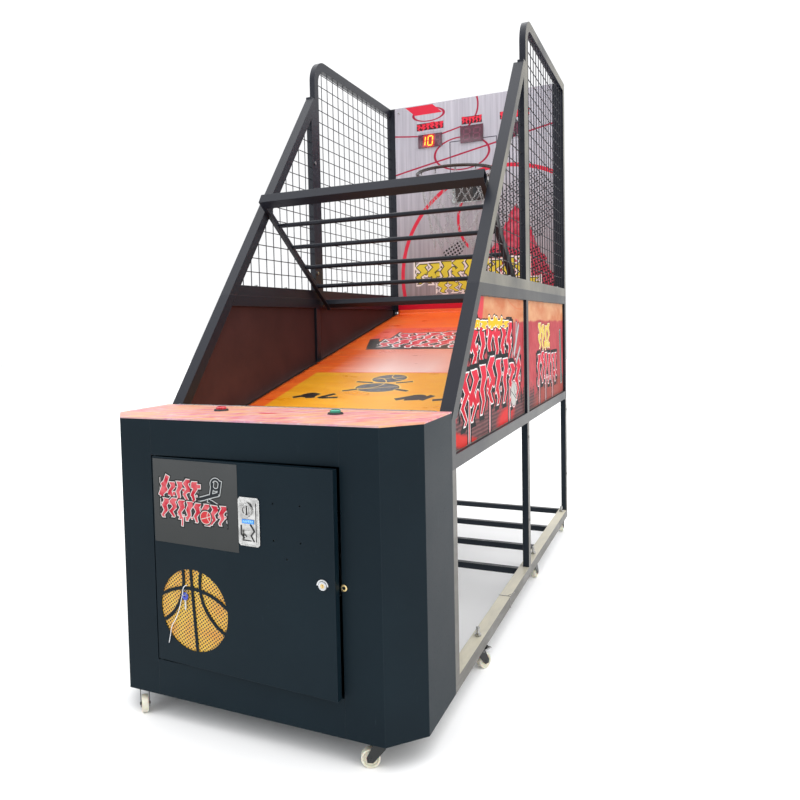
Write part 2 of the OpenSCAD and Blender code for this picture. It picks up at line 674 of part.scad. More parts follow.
back_y = board_y - bracket_t;
module hoop_rim() color([0.12, 0.1, 0.1]) {
    arm = 60;
    reach = sqrt(hoop_d * hoop_d / 4 - arm * arm);
    translate([0, hoop_y, hoop_z]) {
        rotate_extrude($fn = 96) translate([hoop_d / 2, 0]) circle(d = hoop_bar, $fn = 32);
        for (a = [15:30:345]) rotate([0, 0, a]) translate([hoop_d / 2, 0, -hoop_bar / 2 - 9])
            cylinder(d = 5, h = 12, $fn = 24);
    }
    both() translate([arm - 5, hoop_y + reach, hoop_z - 7])
        cube([10, back_y - 4 - hoop_y - reach, 14]);
    translate([-85, back_y - 4, hoop_z - 100]) cube([170, 4, 108]);
}
module hoop_bracket() color([0.78, 0.78, 0.76]) difference() {
    union() {
        translate([-105, board_y - 4, hoop_z - 106]) cube([210, 4, 118]);
        for (x = [-105, 85]) translate([x, back_y, hoop_z - 106]) cube([20, 8, 118]);
        translate([-85, back_y, hoop_z - 60]) cube([170, 8, 20]);
    }
    for (x = [-95, 95], z = [hoop_z - 85, hoop_z - 45, hoop_z - 10])
        translate([x, back_y - 1, z - 8]) translate([-2.5, 0, 0]) cube([5, bracket_t + 2, 16]);
}
module score_sensor() color([0.08, 0.08, 0.09]) difference() {
    translate([24, back_y - 44, hoop_z - 96]) cube([58, 40, 78]);
    translate([40, back_y - 45, hoop_z - 70]) cube([26, 6, 26]);
}
net_t = 5;
module chain_net() color([0.75, 0.75, 0.76]) {
    zt = hoop_z - hoop_bar / 2 - 9;
    translate([0, hoop_y, 0]) rotate_extrude($fn = 72) polygon([
        [hoop_d / 2 - net_t / 2, zt], [hoop_d / 2 + net_t / 2, zt],
        [net_end_d / 2 + net_t / 2, zt - net_length], [net_end_d / 2 - net_t / 2, zt - net_length]]);
}

// Ramp, drawn level and then tipped about its front top edge -------------------------------------------

module on_ramp() translate([0, YR + 3, ramp_z0]) rotate([ramp_angle, 0, 0]) children();
ramp_len = (board_y - 1 - YR - 3) / cos(ramp_angle) - ramp_board * tan(ramp_angle) - 1;
module ramp_deck() color([0.25, 0.12, 0.08]) on_ramp()
    translate([-xo + 3, ramp_board * tan(ramp_angle) + 0.5, -ramp_board])
        cube([2 * xo - 6, ramp_len - ramp_board * tan(ramp_angle) - 0.5, ramp_board]);
module ramp_cover() color([0.95, 0.42, 0.08]) on_ramp()
    translate([-cover_width / 2, ramp_board * tan(ramp_angle) + 2, 0])
        cube([cover_width, ramp_len - ramp_board * tan(ramp_angle) - 5, 1]);
module ramp_supports() color([0.15, 0.15, 0.18]) on_ramp() {
    ys = [24, (mid_y + 20 - YR) / cos(ramp_angle) - 12, ramp_len - 34];
    for (y = ys) tube_c([-xo, y, -ramp_board - 25], 2 * xo, 25, 25);
    both() for (i = [0, 1])
        tube_l([xo - 90, ys[i] + 25, -ramp_board - 25], 25, ys[i + 1] - ys[i] - 25, 25);
}

// Casters ----------------------------------------------------------------------------------------------

plate_top = z0 - 4.3;
axle_z = wheel_d / 2;
module at_stem(i) translate([stems[i][0], stems[i][1], 0]) rotate([0, 0, stems[i][3]]) children();
module stem(tall) {
    top = tall ? z0 + tube_d : z0 + sheet;
    translate([0, 0, z0 - 4]) cylinder(d = 30, h = 4);
    translate([0, 0, z0 - 0.5]) cylinder(d = stem_d, h = top + 30 - z0 + 0.5);
    translate([0, 0, top]) cylinder(d = (stem_d + 7) * 2 / sqrt(3), h = 9, $fn = 6);
    // rivet that holds the fork
    translate([0, 0, plate_top - 4]) cylinder(d = 10, h = z0 - plate_top + 1);
    translate([0, 0, plate_top - 6.8]) cylinder(d = 15, h = 3.5);
}
module caster_stems() color([0.72, 0.72, 0.7])
    for (i = [0:7]) translate([stems[i][0], stems[i][1], 0]) stem(stems[i][2] == 1);
module fork(i) color([0.1, 0.11, 0.11]) at_stem(i) {
    difference() {
        union() {
            translate([-13.5, -15, plate_top - 3]) cube([27, 32, 3]);
            for (x = [-13.5, 11.5]) side_plate(x, 2) polygon([
                [-13, plate_top], [17, plate_top], [trail + 11, 29], [trail + 9, 17],
                [trail - 6, 16], [-13, plate_top - 14]]);
            translate([-15.5, trail, axle_z]) rotate([0, 90, 0]) cylinder(d = axle_d, h = 31);
        }
        translate([0, 0, plate_top - 4]) cylinder(r = 5 + run_fit, h = 5);
        if (i == 2 || i == 3) translate([-20, 13, plate_top - 8]) rotate([0, 90, 0])
            cylinder(r = 2 + run_fit, h = 40, $fn = 32);
    }
}
module wheel(i) color([0.88, 0.86, 0.76]) at_stem(i)
    translate([0, trail, axle_z]) rotate([0, 90, 0]) rotate_extrude($fn = 72) {
        r = wheel_d / 2;
        w = wheel_w / 2;
        b = axle_d / 2 + run_fit;
        polygon([[b, -w], [9, -w], [9, -w + 3], [r - 7, -w + 3], [r - 7, -w + 1], [r - 2.5, -w + 1],
                 [r, -w + 3.5], [r, w - 3.5], [r - 2.5, w - 1], [r - 7, w - 1], [r - 7, w - 3],
                 [9, w - 3], [9, w], [b, w]]);
    }
module pedal(i) color([0.3, 0.3, 0.31]) at_stem(i) translate([0, 13, plate_top - 8]) {
    translate([-13.4, 0, 0]) rotate([0, 90, 0]) cylinder(r = 2, h = 26.8, $fn = 32);
    side_plate(-10.5, 21) polygon([
        [-2, -2.5], [4, -2.5], [pedal_length - 16, 3], [pedal_length - 13, 1],
        [pedal_length - 11.5, 3], [pedal_length - 16, 7.5], [4, 2.5], [-2, 2.5]]);
}

cabinet_corners();
cabinet_front();
cabinet_back();
console_top();
console_trim();
button_bezels();
button_red();
button_green();
door_panel();
poster_plate();
speaker_grille();
speaker();
coin_acceptor();
coin_return_flap();
lock_body();
lock_cam();
lock_strike();
spare_key();
control_box();
cash_box();
base_frame();
lower_frame_left();
lower_frame_right();
side_panels();
front_frame_left();
front_frame_right();
rear_frame_left();
rear_frame_right();
mesh_panels();
guard_rack();
frame_bolts();
backboard_frame();
backboard();
displays();
hoop_rim();
hoop_bracket();
score_sensor();
chain_net();
ramp_supports();
ramp_deck();
ramp_cover();
caster_stems();
fork(0);  // caster_fork_1
fork(1);  // caster_fork_2
fork(2);  // caster_fork_3
fork(3);  // caster_fork_4
fork(4);  // caster_fork_5
fork(5);  // caster_fork_6
fork(6);  // caster_fork_7
fork(7);  // caster_fork_8
wheel(0);  // caster_wheel_1
wheel(1);  // caster_wheel_2
wheel(2);  // caster_wheel_3
wheel(3);  // caster_wheel_4
wheel(4);  // caster_wheel_5
wheel(5);  // caster_wheel_6
wheel(6);  // caster_wheel_7
wheel(7);  // caster_wheel_8
pedal(2);  // caster_pedal_1
pedal(3);  // caster_pedal_2
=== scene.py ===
# %% [markdown]
# Basketball hoop machine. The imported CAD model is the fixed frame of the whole
# scene: every tube, sheet and bolt already has its place. What is made here is what
# a drawing in exact solids cannot show: the finishes, the printed graphics, the
# welded mesh of round wire, the chain net, the vinyl on the ramp, the lit counters.

import json
import math

import bpy
import bmesh
from mathutils import Matrix, Vector


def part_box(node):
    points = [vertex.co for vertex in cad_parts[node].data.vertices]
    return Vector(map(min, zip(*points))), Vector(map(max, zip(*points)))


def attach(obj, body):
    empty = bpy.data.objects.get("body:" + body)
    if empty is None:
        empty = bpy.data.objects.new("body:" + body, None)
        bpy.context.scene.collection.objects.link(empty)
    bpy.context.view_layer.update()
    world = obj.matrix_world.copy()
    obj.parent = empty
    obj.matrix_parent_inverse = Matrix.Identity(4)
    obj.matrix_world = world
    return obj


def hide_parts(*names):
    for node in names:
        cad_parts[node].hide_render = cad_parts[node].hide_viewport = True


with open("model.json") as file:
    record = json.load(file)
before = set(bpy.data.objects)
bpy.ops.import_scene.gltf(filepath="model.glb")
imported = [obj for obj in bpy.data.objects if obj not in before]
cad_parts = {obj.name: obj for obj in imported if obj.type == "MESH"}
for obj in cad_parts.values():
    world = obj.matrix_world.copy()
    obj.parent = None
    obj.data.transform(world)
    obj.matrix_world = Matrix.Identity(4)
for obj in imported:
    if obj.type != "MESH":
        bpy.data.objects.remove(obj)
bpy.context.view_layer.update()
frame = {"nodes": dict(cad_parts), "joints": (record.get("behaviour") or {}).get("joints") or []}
nodes = frame["nodes"]

# %% [markdown]
# The camera comes first, so that every later piece can be checked from where it
# will be looked at. It stands to the player's right of the machine, a little above
# the deck, and looks along the ramp. A camera can be placed by its turn angles; here
# its three axes are worked out from heading, tilt and roll and put in a matrix,
# because that leaves no doubt about the order of the turns.

# %% Camera
heading, tilt, roll = 0.466, -0.053, -0.026
ahead = Vector((-math.sin(heading) * math.cos(tilt),
                math.cos(heading) * math.cos(tilt), math.sin(tilt)))
right = Vector((math.cos(heading), math.sin(heading), 0))
up = right.cross(ahead)
cam_x = right * math.cos(roll) + up * math.sin(roll)
cam_y = up * math.cos(roll) - right * math.sin(roll)
camera = bpy.data.objects.new("camera", bpy.data.cameras.new("camera"))
bpy.context.scene.collection.objects.link(camera)
turn = Matrix((cam_x, cam_y, -ahead)).transposed().to_4x4()
camera.matrix_world = Matrix.Translation((1.0795, -2.9498, 1.1174)) @ turn
camera.data.sensor_width = 36
camera.data.lens = 34.03
camera.data.shift_x, camera.data.shift_y = 0.1106, -0.0404
camera.data.clip_end = 60
bpy.context.scene.camera = camera
bpy.context.scene.view_settings.view_transform = "Standard"
print("camera looks along", [round(v, 3) for v in ahead])

# %% [markdown]
# Dark paint shows its shape only by what it reflects, so the light comes from broad
# soft boxes, as in a studio: one large one over the machine, one beyond the
# player's right shoulder that draws a bright edge on every tube, and a weaker one
# on the left. The surround is pale all round, a little dimmer behind the player
# and brighter overhead.

# %% Floor, surround and lamps
def lamp(name, place, aim, size, power, tint):
    light = bpy.data.lights.new(name, "AREA")
    light.shape = "RECTANGLE"
    light.size, light.size_y = size
    light.energy = power
    light.color = tint
    ob = bpy.data.objects.new(name, light)
    bpy.context.scene.collection.objects.link(ob)
    ob.location = place
    ob.rotation_euler = (Vector(aim) - Vector(place)).to_track_quat("-Z", "Y").to_euler()
    return ob

lamp("overhead", (0.3, 0.2, 5.6), (0, 0.3, 0), (8, 8), 110, (1, 1, 1))
lamp("right_box", (4.6, -2.6, 2.4), (0, -0.4, 1), (2.6, 2.6), 50, (1, 0.98, 0.94))
lamp("front_box", (-2.6, -5.2, 2.8), (0, -0.8, 0.8), (2.0, 2.0), 36, (0.9, 0.96, 1))
surround = bpy.context.scene.world or bpy.data.worlds.new("surround")
bpy.context.scene.world = surround
surround.use_nodes = True
sky = surround.node_tree
way = sky.nodes.new("ShaderNodeTexCoord")
part = sky.nodes.new("ShaderNodeSeparateXYZ")
sky.links.new(way.outputs["Generated"], part.inputs[0])
strength = None
for axis, low, high, dim, bright in (("Y", -0.4, 0.4, 0.8, 1.02), ("Z", 0.25, 0.9, 0.0, 0.95)):
    span = sky.nodes.new("ShaderNodeMapRange")
    for socket, value in zip(list(span.inputs)[1:5], (low, high, dim, bright)):
        socket.default_value = value
    sky.links.new(part.outputs[axis], span.inputs[0])
    if strength is None:
        strength = span.outputs[0]
    else:
        total = sky.nodes.new("ShaderNodeMath")
        sky.links.new(strength, total.inputs[0])
        sky.links.new(span.outputs[0], total.inputs[1])
        strength = total.outputs[0]
sky.links.new(strength, sky.nodes["Background"].inputs["Strength"])
sky.nodes["Background"].inputs["Color"].default_value = (0.985, 0.99, 1, 1)
bpy.ops.object.select_all(action="DESELECT")
bpy.ops.mesh.primitive_plane_add(size=40, location=(0, 0, 0))
floor = bpy.context.object
floor.name = "studio_floor"
print("lamps and floor ready")

# %% [markdown]
# Every finish on the machine is a small net of shader nodes. Written out one by one
# they would hide what each finish is, so this cell gathers the steps that repeat:
# a number worked on, two colours mixed, a grain, a shape with straight or round
# edges. Patterns read the Object coordinates, which here are the machine's own
# metres, so a scratch or a printed line has its true size on every piece.

# %% The finish bench
class Finish:
    """One material, built step by step."""

    def __init__(self, name):
        self.mat = bpy.data.materials.new(name)
        self.mat.use_nodes = True
        self.tree = self.mat.node_tree
        self.skin = self.tree.nodes["Principled BSDF"]
        self.place = self.new("ShaderNodeTexCoord").outputs["Object"]

    def new(self, kind, **settings):
        node = self.tree.nodes.new(kind)
        for key, value in settings.items():
            setattr(node, key, value)
        return node

    def feed(self, socket, value):
        if isinstance(value, bpy.types.NodeSocket):
            self.tree.links.new(value, socket)
        elif socket.type == "RGBA" and len(value) == 3:
            socket.default_value = (*value, 1)
        else:
            socket.default_value = value

    def math(self, what, a, b=0.0, clamp=False):
        node = self.new("ShaderNodeMath", operation=what, use_clamp=clamp)
        self.feed(node.inputs[0], a)
        self.feed(node.inputs[1], b)
        return node.outputs[0]

    def vec(self, what, a, b=(0, 0, 0)):
        node = self.new("ShaderNodeVectorMath", operation=what)
        self.feed(node.inputs[0], a)
        self.feed(node.inputs[1], b)
        return node.outputs[1 if what in ("DISTANCE", "LENGTH", "DOT_PRODUCT") else 0]

    def mix(self, share, a, b, how="MIX"):
        node = self.new("ShaderNodeMix", data_type="RGBA", blend_type=how)
        self.feed(node.inputs[0], share)
        self.feed(node.inputs[6], a)
        self.feed(node.inputs[7], b)
        return node.outputs[2]

    def axes(self, vector=None):
        node = self.new("ShaderNodeSeparateXYZ")
        self.feed(node.inputs[0], vector or self.place)
        return node.outputs

    def join(self, x, y, z=0.0):
        node = self.new("ShaderNodeCombineXYZ")
        for socket, value in zip(node.inputs, (x, y, z)):
            self.feed(socket, value)
        return node.outputs[0]

    def turned(self, vector, centre=(0, 0, 0), angle=(0, 0, 0), size=(1, 1, 1)):
        node = self.new("ShaderNodeMapping", vector_type="TEXTURE")
        self.feed(node.inputs[0], vector)
        node.inputs["Location"].default_value = centre
        node.inputs["Rotation"].default_value = [math.radians(a) for a in angle]
        node.inputs["Scale"].default_value = size
        return node.outputs[0]

    def grain(self, size, detail=3.0, rough=0.55, at=None, stretch=None):
        node = self.new("ShaderNodeTexNoise")
        at = self.turned(at or self.place, size=stretch) if stretch else (at or self.place)
        self.feed(node.inputs["Vector"], at)
        node.inputs["Scale"].default_value = 1 / size
        node.inputs["Detail"].default_value = detail
        node.inputs["Roughness"].default_value = rough
        return node.outputs[0]

    def fade(self, value, low, high, a=0.0, b=1.0):
        node = self.new("ShaderNodeMapRange", clamp=True)
        for socket, v in zip(node.inputs, (value, low, high, a, b)):
            self.feed(socket, v)
        return node.outputs[0]

    def edges(self, width=0.002):
        """1 on sharp edges, 0 on flats."""
        soft = self.new("ShaderNodeBevel", samples=4)
        soft.inputs["Radius"].default_value = width
        hard = self.new("ShaderNodeNewGeometry")
        same = self.vec("DOT_PRODUCT", soft.outputs[0], hard.outputs["Normal"])
        return self.fade(same, 0.999, 0.9), soft.outputs[0]

    def finish(self, colour, rough=0.5, metal=0.0, height=None, depth=0.001, round_edges=None,
               **fixed):
        self.feed(self.skin.inputs["Base Color"], colour)
        self.feed(self.skin.inputs["Roughness"], rough)
        self.feed(self.skin.inputs["Metallic"], metal)
        normal = round_edges
        if height is not None:
            bump = self.new("ShaderNodeBump")
            bump.inputs["Strength"].default_value = 1
            bump.inputs["Distance"].default_value = depth
            self.feed(bump.inputs["Height"], height)
            if normal is not None:
                self.feed(bump.inputs["Normal"], normal)
            normal = bump.outputs[0]
        if normal is not None:
            self.feed(self.skin.inputs["Normal"], normal)
        for name, value in fixed.items():
            self.skin.inputs[name.replace("_", " ")].default_value = value
        return self.mat


def dress(material, *names):
    """Puts a material on CAD nodes or pieces."""
    for name in names:
        data = (nodes[name] if isinstance(name, str) else name).data
        data.materials.clear()
        data.materials.append(material)
    print(material.name, "on", len(names), "piece(s)")

# %% [markdown]
# The studio floor is a plain pale sheet with the faint mottling of a seamless
# backdrop, so the shadow under the machine has something to lie on.

# %% Floor finish
f = Finish("backdrop")
cloud = f.grain(1.2, 2)
dress(f.finish(f.mix(f.fade(cloud, 0.3, 0.7), (0.95, 0.95, 0.95), (0.98, 0.98, 0.98)), 0.75),
      floor)

# %% [markdown]
# All the machine's steel is powder coated: the powder melts into a skin with a fine
# orange-peel ripple, a few light scuffs, and thinner, paler paint on sharp edges.
# Each is one line of nodes: two grains for ripple and scuffs, and a comparison of
# the true and the rounded normal to find the edges. The faces of the side frames that
# look away from the machine's middle carry a painted warm grey reflection, strongest
# on the cage. The same recipe, with other colours and gloss, serves the cabinet, the
# frames and the base.

# %% Powder-coated steel
def powder_coat(name, dark, pale, gloss, wear=0.5, shine=0.25, outward_sheen_tint=None, ripple=0.0015,
                peel=0.00003):
    f = Finish(name)
    edge, rounded = f.edges(0.0022)
    blotch = f.fade(f.grain(0.35, 4), 0.3, 0.75)
    scuff = f.fade(f.grain(0.012, 5, 0.7, stretch=(1, 1, 9)), 0.66, 0.74)
    dust = f.fade(f.grain(0.006, 2), 0.62, 0.72)
    colour = f.mix(blotch, dark, pale)
    # Painted reflection: faces turned away from the machine's middle get a lighter warm grey mixed into
    # their colour.
    if outward_sheen_tint:
        facing = f.axes(f.new("ShaderNodeNewGeometry").outputs["Normal"])[0]
        outward = f.math("MULTIPLY", facing, f.math("SIGN", f.axes()[0]))
        colour = f.mix(f.fade(outward, 0.6, 0.9), colour, f.mix(blotch, outward_sheen_tint, pale))
    worn = [min(1, c * 2.4 + 0.05) for c in pale]
    colour = f.mix(f.math("MULTIPLY", edge, wear), colour, worn)
    colour = f.mix(f.math("MULTIPLY", scuff, 0.14), colour, worn)
    rough = f.math("ADD", f.math("MULTIPLY", blotch, 0.08), gloss)
    rough = f.math("ADD", rough, f.math("MULTIPLY", dust, 0.08))
    return f.finish(colour, rough, 0.0, f.grain(ripple, 2), peel, rounded,
                    Specular_IOR_Level=shine)

cabinet_paint = powder_coat("cabinet_powder", (0.003, 0.009, 0.014), (0.005, 0.013, 0.019),
                            0.4, 0.2, 0.1)
dress(cabinet_paint, "cabinet_corners", "cabinet_front", "cabinet_back", "door_panel")
# The last colour here is the painted warm grey reflection on faces turned away from the middle.
frame_paint = powder_coat("frame_powder", (0.008, 0.01, 0.016), (0.016, 0.018, 0.026), 0.32,
                          0.3, 0.2, (0.04, 0.039, 0.033))
dress(frame_paint, "lower_frame_left", "lower_frame_right", "guard_rack",
      "backboard_frame", "ramp_supports")
# The cage gets a stronger painted warm grey reflection on its faces turned away from the middle.
cage_paint = powder_coat("cage_powder", (0.008, 0.01, 0.016), (0.016, 0.018, 0.026), 0.32,
                         0.3, 0.25, (0.2, 0.185, 0.14))
dress(cage_paint, "front_frame_left", "front_frame_right", "rear_frame_left",
      "rear_frame_right")
box_paint = powder_coat("inner_box_powder", (0.3, 0.32, 0.31), (0.36, 0.38, 0.37), 0.45, 0.3)
dress(box_paint, "control_box", "cash_box")

# %% [markdown]
# The base is the same dark coating with light painted into its colour: the top of
# each rail carries a painted pale cream reflection, mottled by a grain, and the legs
# keep the dark paint on their inner faces but get a painted lighter warm grey
# reflection outside. The finish asks each point for its height and for the way it
# faces, and mixes three coats by the answer.

# %% Base rails and legs
f = Finish("base_powder")
edge, rounded = f.edges(0.0022)
facing = f.axes(f.new("ShaderNodeNewGeometry").outputs["Normal"])
x, y, z = f.axes()
outward = f.math("MULTIPLY", facing[0], f.math("SIGN", x))
# Painted reflection: the level top faces of the outer rails, low down, are mixed to a pale cream.
rail = f.math("MULTIPLY", f.fade(z, 0.1106, 0.1102), f.fade(f.math("ABSOLUTE", x), 0.444, 0.445))
# A grain that mottles the painted reflection and the roughness.
sheen_mottle = f.fade(f.grain(0.05, 5, 0.65, stretch=(1, 4, 1)), 0.35, 0.62)
dark, warm, pale = (0.008, 0.014, 0.022), (0.105, 0.1, 0.088), (0.62, 0.58, 0.46)
# Dark paint on faces turned toward the middle, a painted lighter warm grey reflection on faces turned
# away.
coat = f.mix(f.fade(outward, 0.4, 0.6), dark, warm)
coat = f.mix(f.math("MULTIPLY", f.fade(facing[2], 0.5, 0.7), rail),
             coat, f.mix(sheen_mottle, (0.5, 0.47, 0.38), pale))
coat = f.mix(f.math("MULTIPLY", edge, 0.35), coat, (0.42, 0.4, 0.34))
base_paint = f.finish(coat, f.math("ADD", 0.32, f.math("MULTIPLY", sheen_mottle, 0.15)), 0.0,
                      f.grain(0.0015, 2), 0.00003, rounded, Specular_IOR_Level=0.3)
dress(base_paint, "base_frame")

# %% [markdown]
# Bare metal on this machine is of three kinds: bright zinc on the bolts, stems and
# hoop bracket, satin steel on the deck trim and the lock body, and yellow
# brass-plated lock parts. All share long fine brush lines and a cloudy tarnish; they
# differ in colour, in how far the lines are drawn out, and in how sharp the
# reflection is.

# %% Bare metals
def bare_metal(name, colour, dull, gloss, drawn=(1, 1, 12), edge_gain=0.3):
    f = Finish(name)
    edge, rounded = f.edges(0.0008)
    lines = f.grain(0.0012, 3, 0.6, stretch=drawn)
    tarnish = f.fade(f.grain(0.02, 4), 0.35, 0.75)
    tint = f.mix(tarnish, colour, dull)
    tint = f.mix(f.math("MULTIPLY", edge, edge_gain), tint, (0.85, 0.85, 0.85))
    rough = f.math("ADD", gloss, f.math("MULTIPLY", tarnish, 0.16))
    return f.finish(tint, rough, 1.0, lines, 0.000015, rounded)

zinc = bare_metal("bright_zinc", (0.5, 0.5, 0.49), (0.28, 0.28, 0.27), 0.2)
satin = bare_metal("satin_steel", (0.56, 0.57, 0.58), (0.38, 0.39, 0.4), 0.26, (14, 1, 1))
brass = bare_metal("plated_brass", (0.78, 0.6, 0.28), (0.5, 0.36, 0.15), 0.24)
dress(zinc, "frame_bolts", "caster_stems", "hoop_bracket", "caster_pedal_1",
      "caster_pedal_2", "coin_return_flap")
dress(satin, "console_trim", "lock_body")
dress(brass, "lock_strike", "lock_cam")

# %% [markdown]
# Moulded plastic has no brush lines: it has a fine spark-eroded grain, and thick
# clear parts let some light in, which rounds their colour. The push buttons and the
# nylon wheels get a little light passed under the skin; the black parts none.

# %% Moulded plastics
def moulded(name, colour, rough, under=0.0, grain=0.0004, clear=0.0):
    f = Finish(name)
    edge, rounded = f.edges(0.0008)
    mottle = f.fade(f.grain(0.015, 3), 0.3, 0.7)
    grey = [c * 0.82 for c in colour]
    grime = f.fade(f.grain(0.03, 5, 0.7), 0.6, 0.8)
    tint = f.mix(mottle, grey, colour)
    tint = f.mix(f.math("MULTIPLY", grime, 0.3), tint, [c * 0.5 + 0.02 for c in colour])
    extra = {"Subsurface_Weight": under, "Subsurface_Scale": 0.004} if under else {}
    return f.finish(tint, f.math("ADD", rough, f.math("MULTIPLY", mottle, 0.06)), 0.0,
                    f.grain(grain, 1), 0.00002, rounded, Coat_Weight=clear, **extra)

black_plastic = moulded("black_plastic", (0.014, 0.014, 0.016), 0.42)
nylon = moulded("cream_nylon", (0.74, 0.71, 0.58), 0.36, 0.25)
red_cap = moulded("red_cap", (0.62, 0.012, 0.03), 0.16, 0.2, clear=0.6)
green_cap = moulded("green_cap", (0.0, 0.32, 0.2), 0.16, 0.2, clear=0.6)
fork_paint = powder_coat("fork_black", (0.012, 0.014, 0.014), (0.022, 0.024, 0.025), 0.3, 0.6, 0.4)
dress(black_plastic, "button_bezels", "speaker", "score_sensor")
dress(red_cap, "button_red")
dress(green_cap, "button_green")
dress(fork_paint, *[f"caster_fork_{i}" for i in range(1, 9)])
dress(nylon, *[f"caster_wheel_{i}" for i in range(1, 9)])
hoop_paint = powder_coat("hoop_black", (0.02, 0.012, 0.01), (0.035, 0.02, 0.017), 0.22, 0.8, 0.5)
dress(hoop_paint, "hoop_rim")

# %% [markdown]
# The prints are drawn, not copied: each is put together from straight blocks, discs
# and rings laid on the sheet at their true sizes. A shape is kept as the distance to
# its edge, because from one such number come the fill, a clean outline and a shadow
# round it, at any sharpness. The artwork is a street pattern of bold zigzag bolts,
# blots and drips.

# %% The print bench
class Print(Finish):
    """A printed sheet that lies along two of the machine's directions."""

    def __init__(self, name, across, along, turn=None, wobble=0.0):
        super().__init__(name)
        if turn:
            self.place = self.turned(self.place, *turn)
        axes = self.axes()
        self.x, self.z = axes["XYZ".index(across)], axes["XYZ".index(along)]
        self.flat = self.join(self.x, self.z)
        self.colour = (0.5, 0.5, 0.5)
        if wobble:
            node = self.new("ShaderNodeTexNoise")
            node.inputs["Scale"].default_value = 26
            self.feed(node.inputs["Vector"], self.flat)
            push = self.vec("SUBTRACT", node.outputs["Color"], (0.5, 0.5, 0.5))
            self.flat = self.vec("ADD", self.flat, self.vec("MULTIPLY", push, (wobble,) * 3))

    def block(self, cx, cz, w, h, angle=0):
        p = self.vec("ABSOLUTE", self.turned(self.flat, (cx, cz, 0), (0, 0, angle)))
        p = self.axes(self.vec("SUBTRACT", p, (w / 2, h / 2, 0)))
        return self.math("MAXIMUM", p[0], p[1])

    def line(self, a, b, w):
        dx, dz = b[0] - a[0], b[1] - a[1]
        return self.block((a[0] + b[0]) / 2, (a[1] + b[1]) / 2, math.hypot(dx, dz), w,
                          math.degrees(math.atan2(dz, dx)))

    def disc(self, cx, cz, r):
        return self.math("SUBTRACT", self.vec("DISTANCE", self.flat, (cx, cz, 0)), r)

    def ring(self, cx, cz, r, w):
        return self.math("SUBTRACT", self.math("ABSOLUTE", self.disc(cx, cz, r)), w / 2)

    def oval(self, cx, cz, rx, rz, angle=0):
        p = self.turned(self.flat, (cx, cz, 0), (0, 0, angle), (rx, rz, 1))
        return self.math("MULTIPLY", self.math("SUBTRACT", self.vec("LENGTH", p), 1), min(rx, rz))

    def join_up(self, shapes):
        total = shapes[0]
        for s in shapes[1:]:
            total = self.math("MINIMUM", total, s)
        return total

    def inside(self, a, b):
        return self.math("MAXIMUM", a, b)

    def strokes(self, x0, x1, z, high, count, lean=12, bar=0.3, seed=0):
        """A row of tapering zigzag bolts with blots between them. One bolt is repeated across
        the row; a random number for each repeat swings, shifts and leans it."""
        step = (x1 - x0) / count
        run = self.math("DIVIDE", self.math("SUBTRACT", self.axes(self.flat)[0], x0), step)
        cell = self.math("FLOOR", run)
        luck = self.new("ShaderNodeTexWhiteNoise", noise_dimensions="1D")
        self.feed(luck.inputs["W"], self.math("ADD", cell, seed * 17.3))
        a, b, c = self.axes(luck.outputs["Color"])
        x = self.math("MULTIPLY", self.math("SUBTRACT", self.math("FRACT", run), 0.5), step)
        up = self.math("SUBTRACT", self.axes(self.flat)[1], z)
        wave = self.math("PINGPONG", self.math("ADD", up, self.math("MULTIPLY", a, high)),
                         high * 0.24)
        swing = self.math("MULTIPLY", self.math("SUBTRACT", b, 0.5), 2.6 * step / high)
        path = self.math("MULTIPLY", self.math("SUBTRACT", wave, high * 0.12), self.math(
            "ADD", swing, self.math("MULTIPLY", self.math("SIGN", swing), 0.9 * step / high)))
        path = self.math("ADD", path, self.math("MULTIPLY", up, math.radians(lean)))
        taper = self.math("ADD", self.math("MULTIPLY", up, step * bar * 0.7 / high),
                          step * bar * 0.62)
        bolt = self.math("SUBTRACT", self.math("ABSOLUTE", self.math("SUBTRACT", x, path)), taper)
        tall = self.math("SUBTRACT", self.math("ABSOLUTE", self.math("ADD", up, self.math(
            "MULTIPLY", self.math("SUBTRACT", b, 0.5), high * 0.25))), high * 0.46)
        spot = self.join(self.math("SUBTRACT", self.math("ABSOLUTE", x), step * 0.36), self.math(
            "SUBTRACT", up, self.math("MULTIPLY", self.math("SUBTRACT", c, 0.5), high * 0.7)))
        blot = self.math("SUBTRACT", self.vec("LENGTH", spot), self.math("MULTIPLY", a, step * 0.2))
        ends = self.math("SUBTRACT", self.math("ABSOLUTE", self.math(
            "SUBTRACT", run, count / 2)), count / 2)
        return self.math("MAXIMUM", self.join_up([self.math("MAXIMUM", self.math(
            "MULTIPLY", bolt, 0.8), tall), blot]), self.math("MULTIPLY", ends, step))

    def ink(self, colour, distance, soft=0.0005, strength=1.0):
        cover = self.fade(distance, soft, -soft)
        if strength != 1.0:
            cover = self.math("MULTIPLY", cover, strength)
        self.colour = self.mix(cover, self.colour, colour)
        return cover

    def scrawl(self, d, fill, line, shadow, wide, deep=2.6):
        """Fill, outline and dark shadow from one distance."""
        self.ink(shadow, self.math("SUBTRACT", d, wide * deep))
        self.ink(line, self.math("SUBTRACT", d, wide))
        self.ink(fill, d)

    def deepen(self, share):
        """Thicker ink: every colour so far is multiplied by a shade."""
        self.colour = self.mix(1.0, self.colour, share, "MULTIPLY")

    def dots(self, pitch, share, angle=45):
        """Halftone: how far a point is from the nearest dot of a square screen."""
        p = self.turned(self.flat, (0, 0, 0), (0, 0, angle), (pitch, pitch, 1))
        p = self.vec("SUBTRACT", self.vec("FRACTION", p), (0.5, 0.5, 0))
        p = self.vec("MULTIPLY", p, (1, 1, 0))
        return self.math("MULTIPLY", self.math("SUBTRACT", self.vec("LENGTH", p), share), pitch)

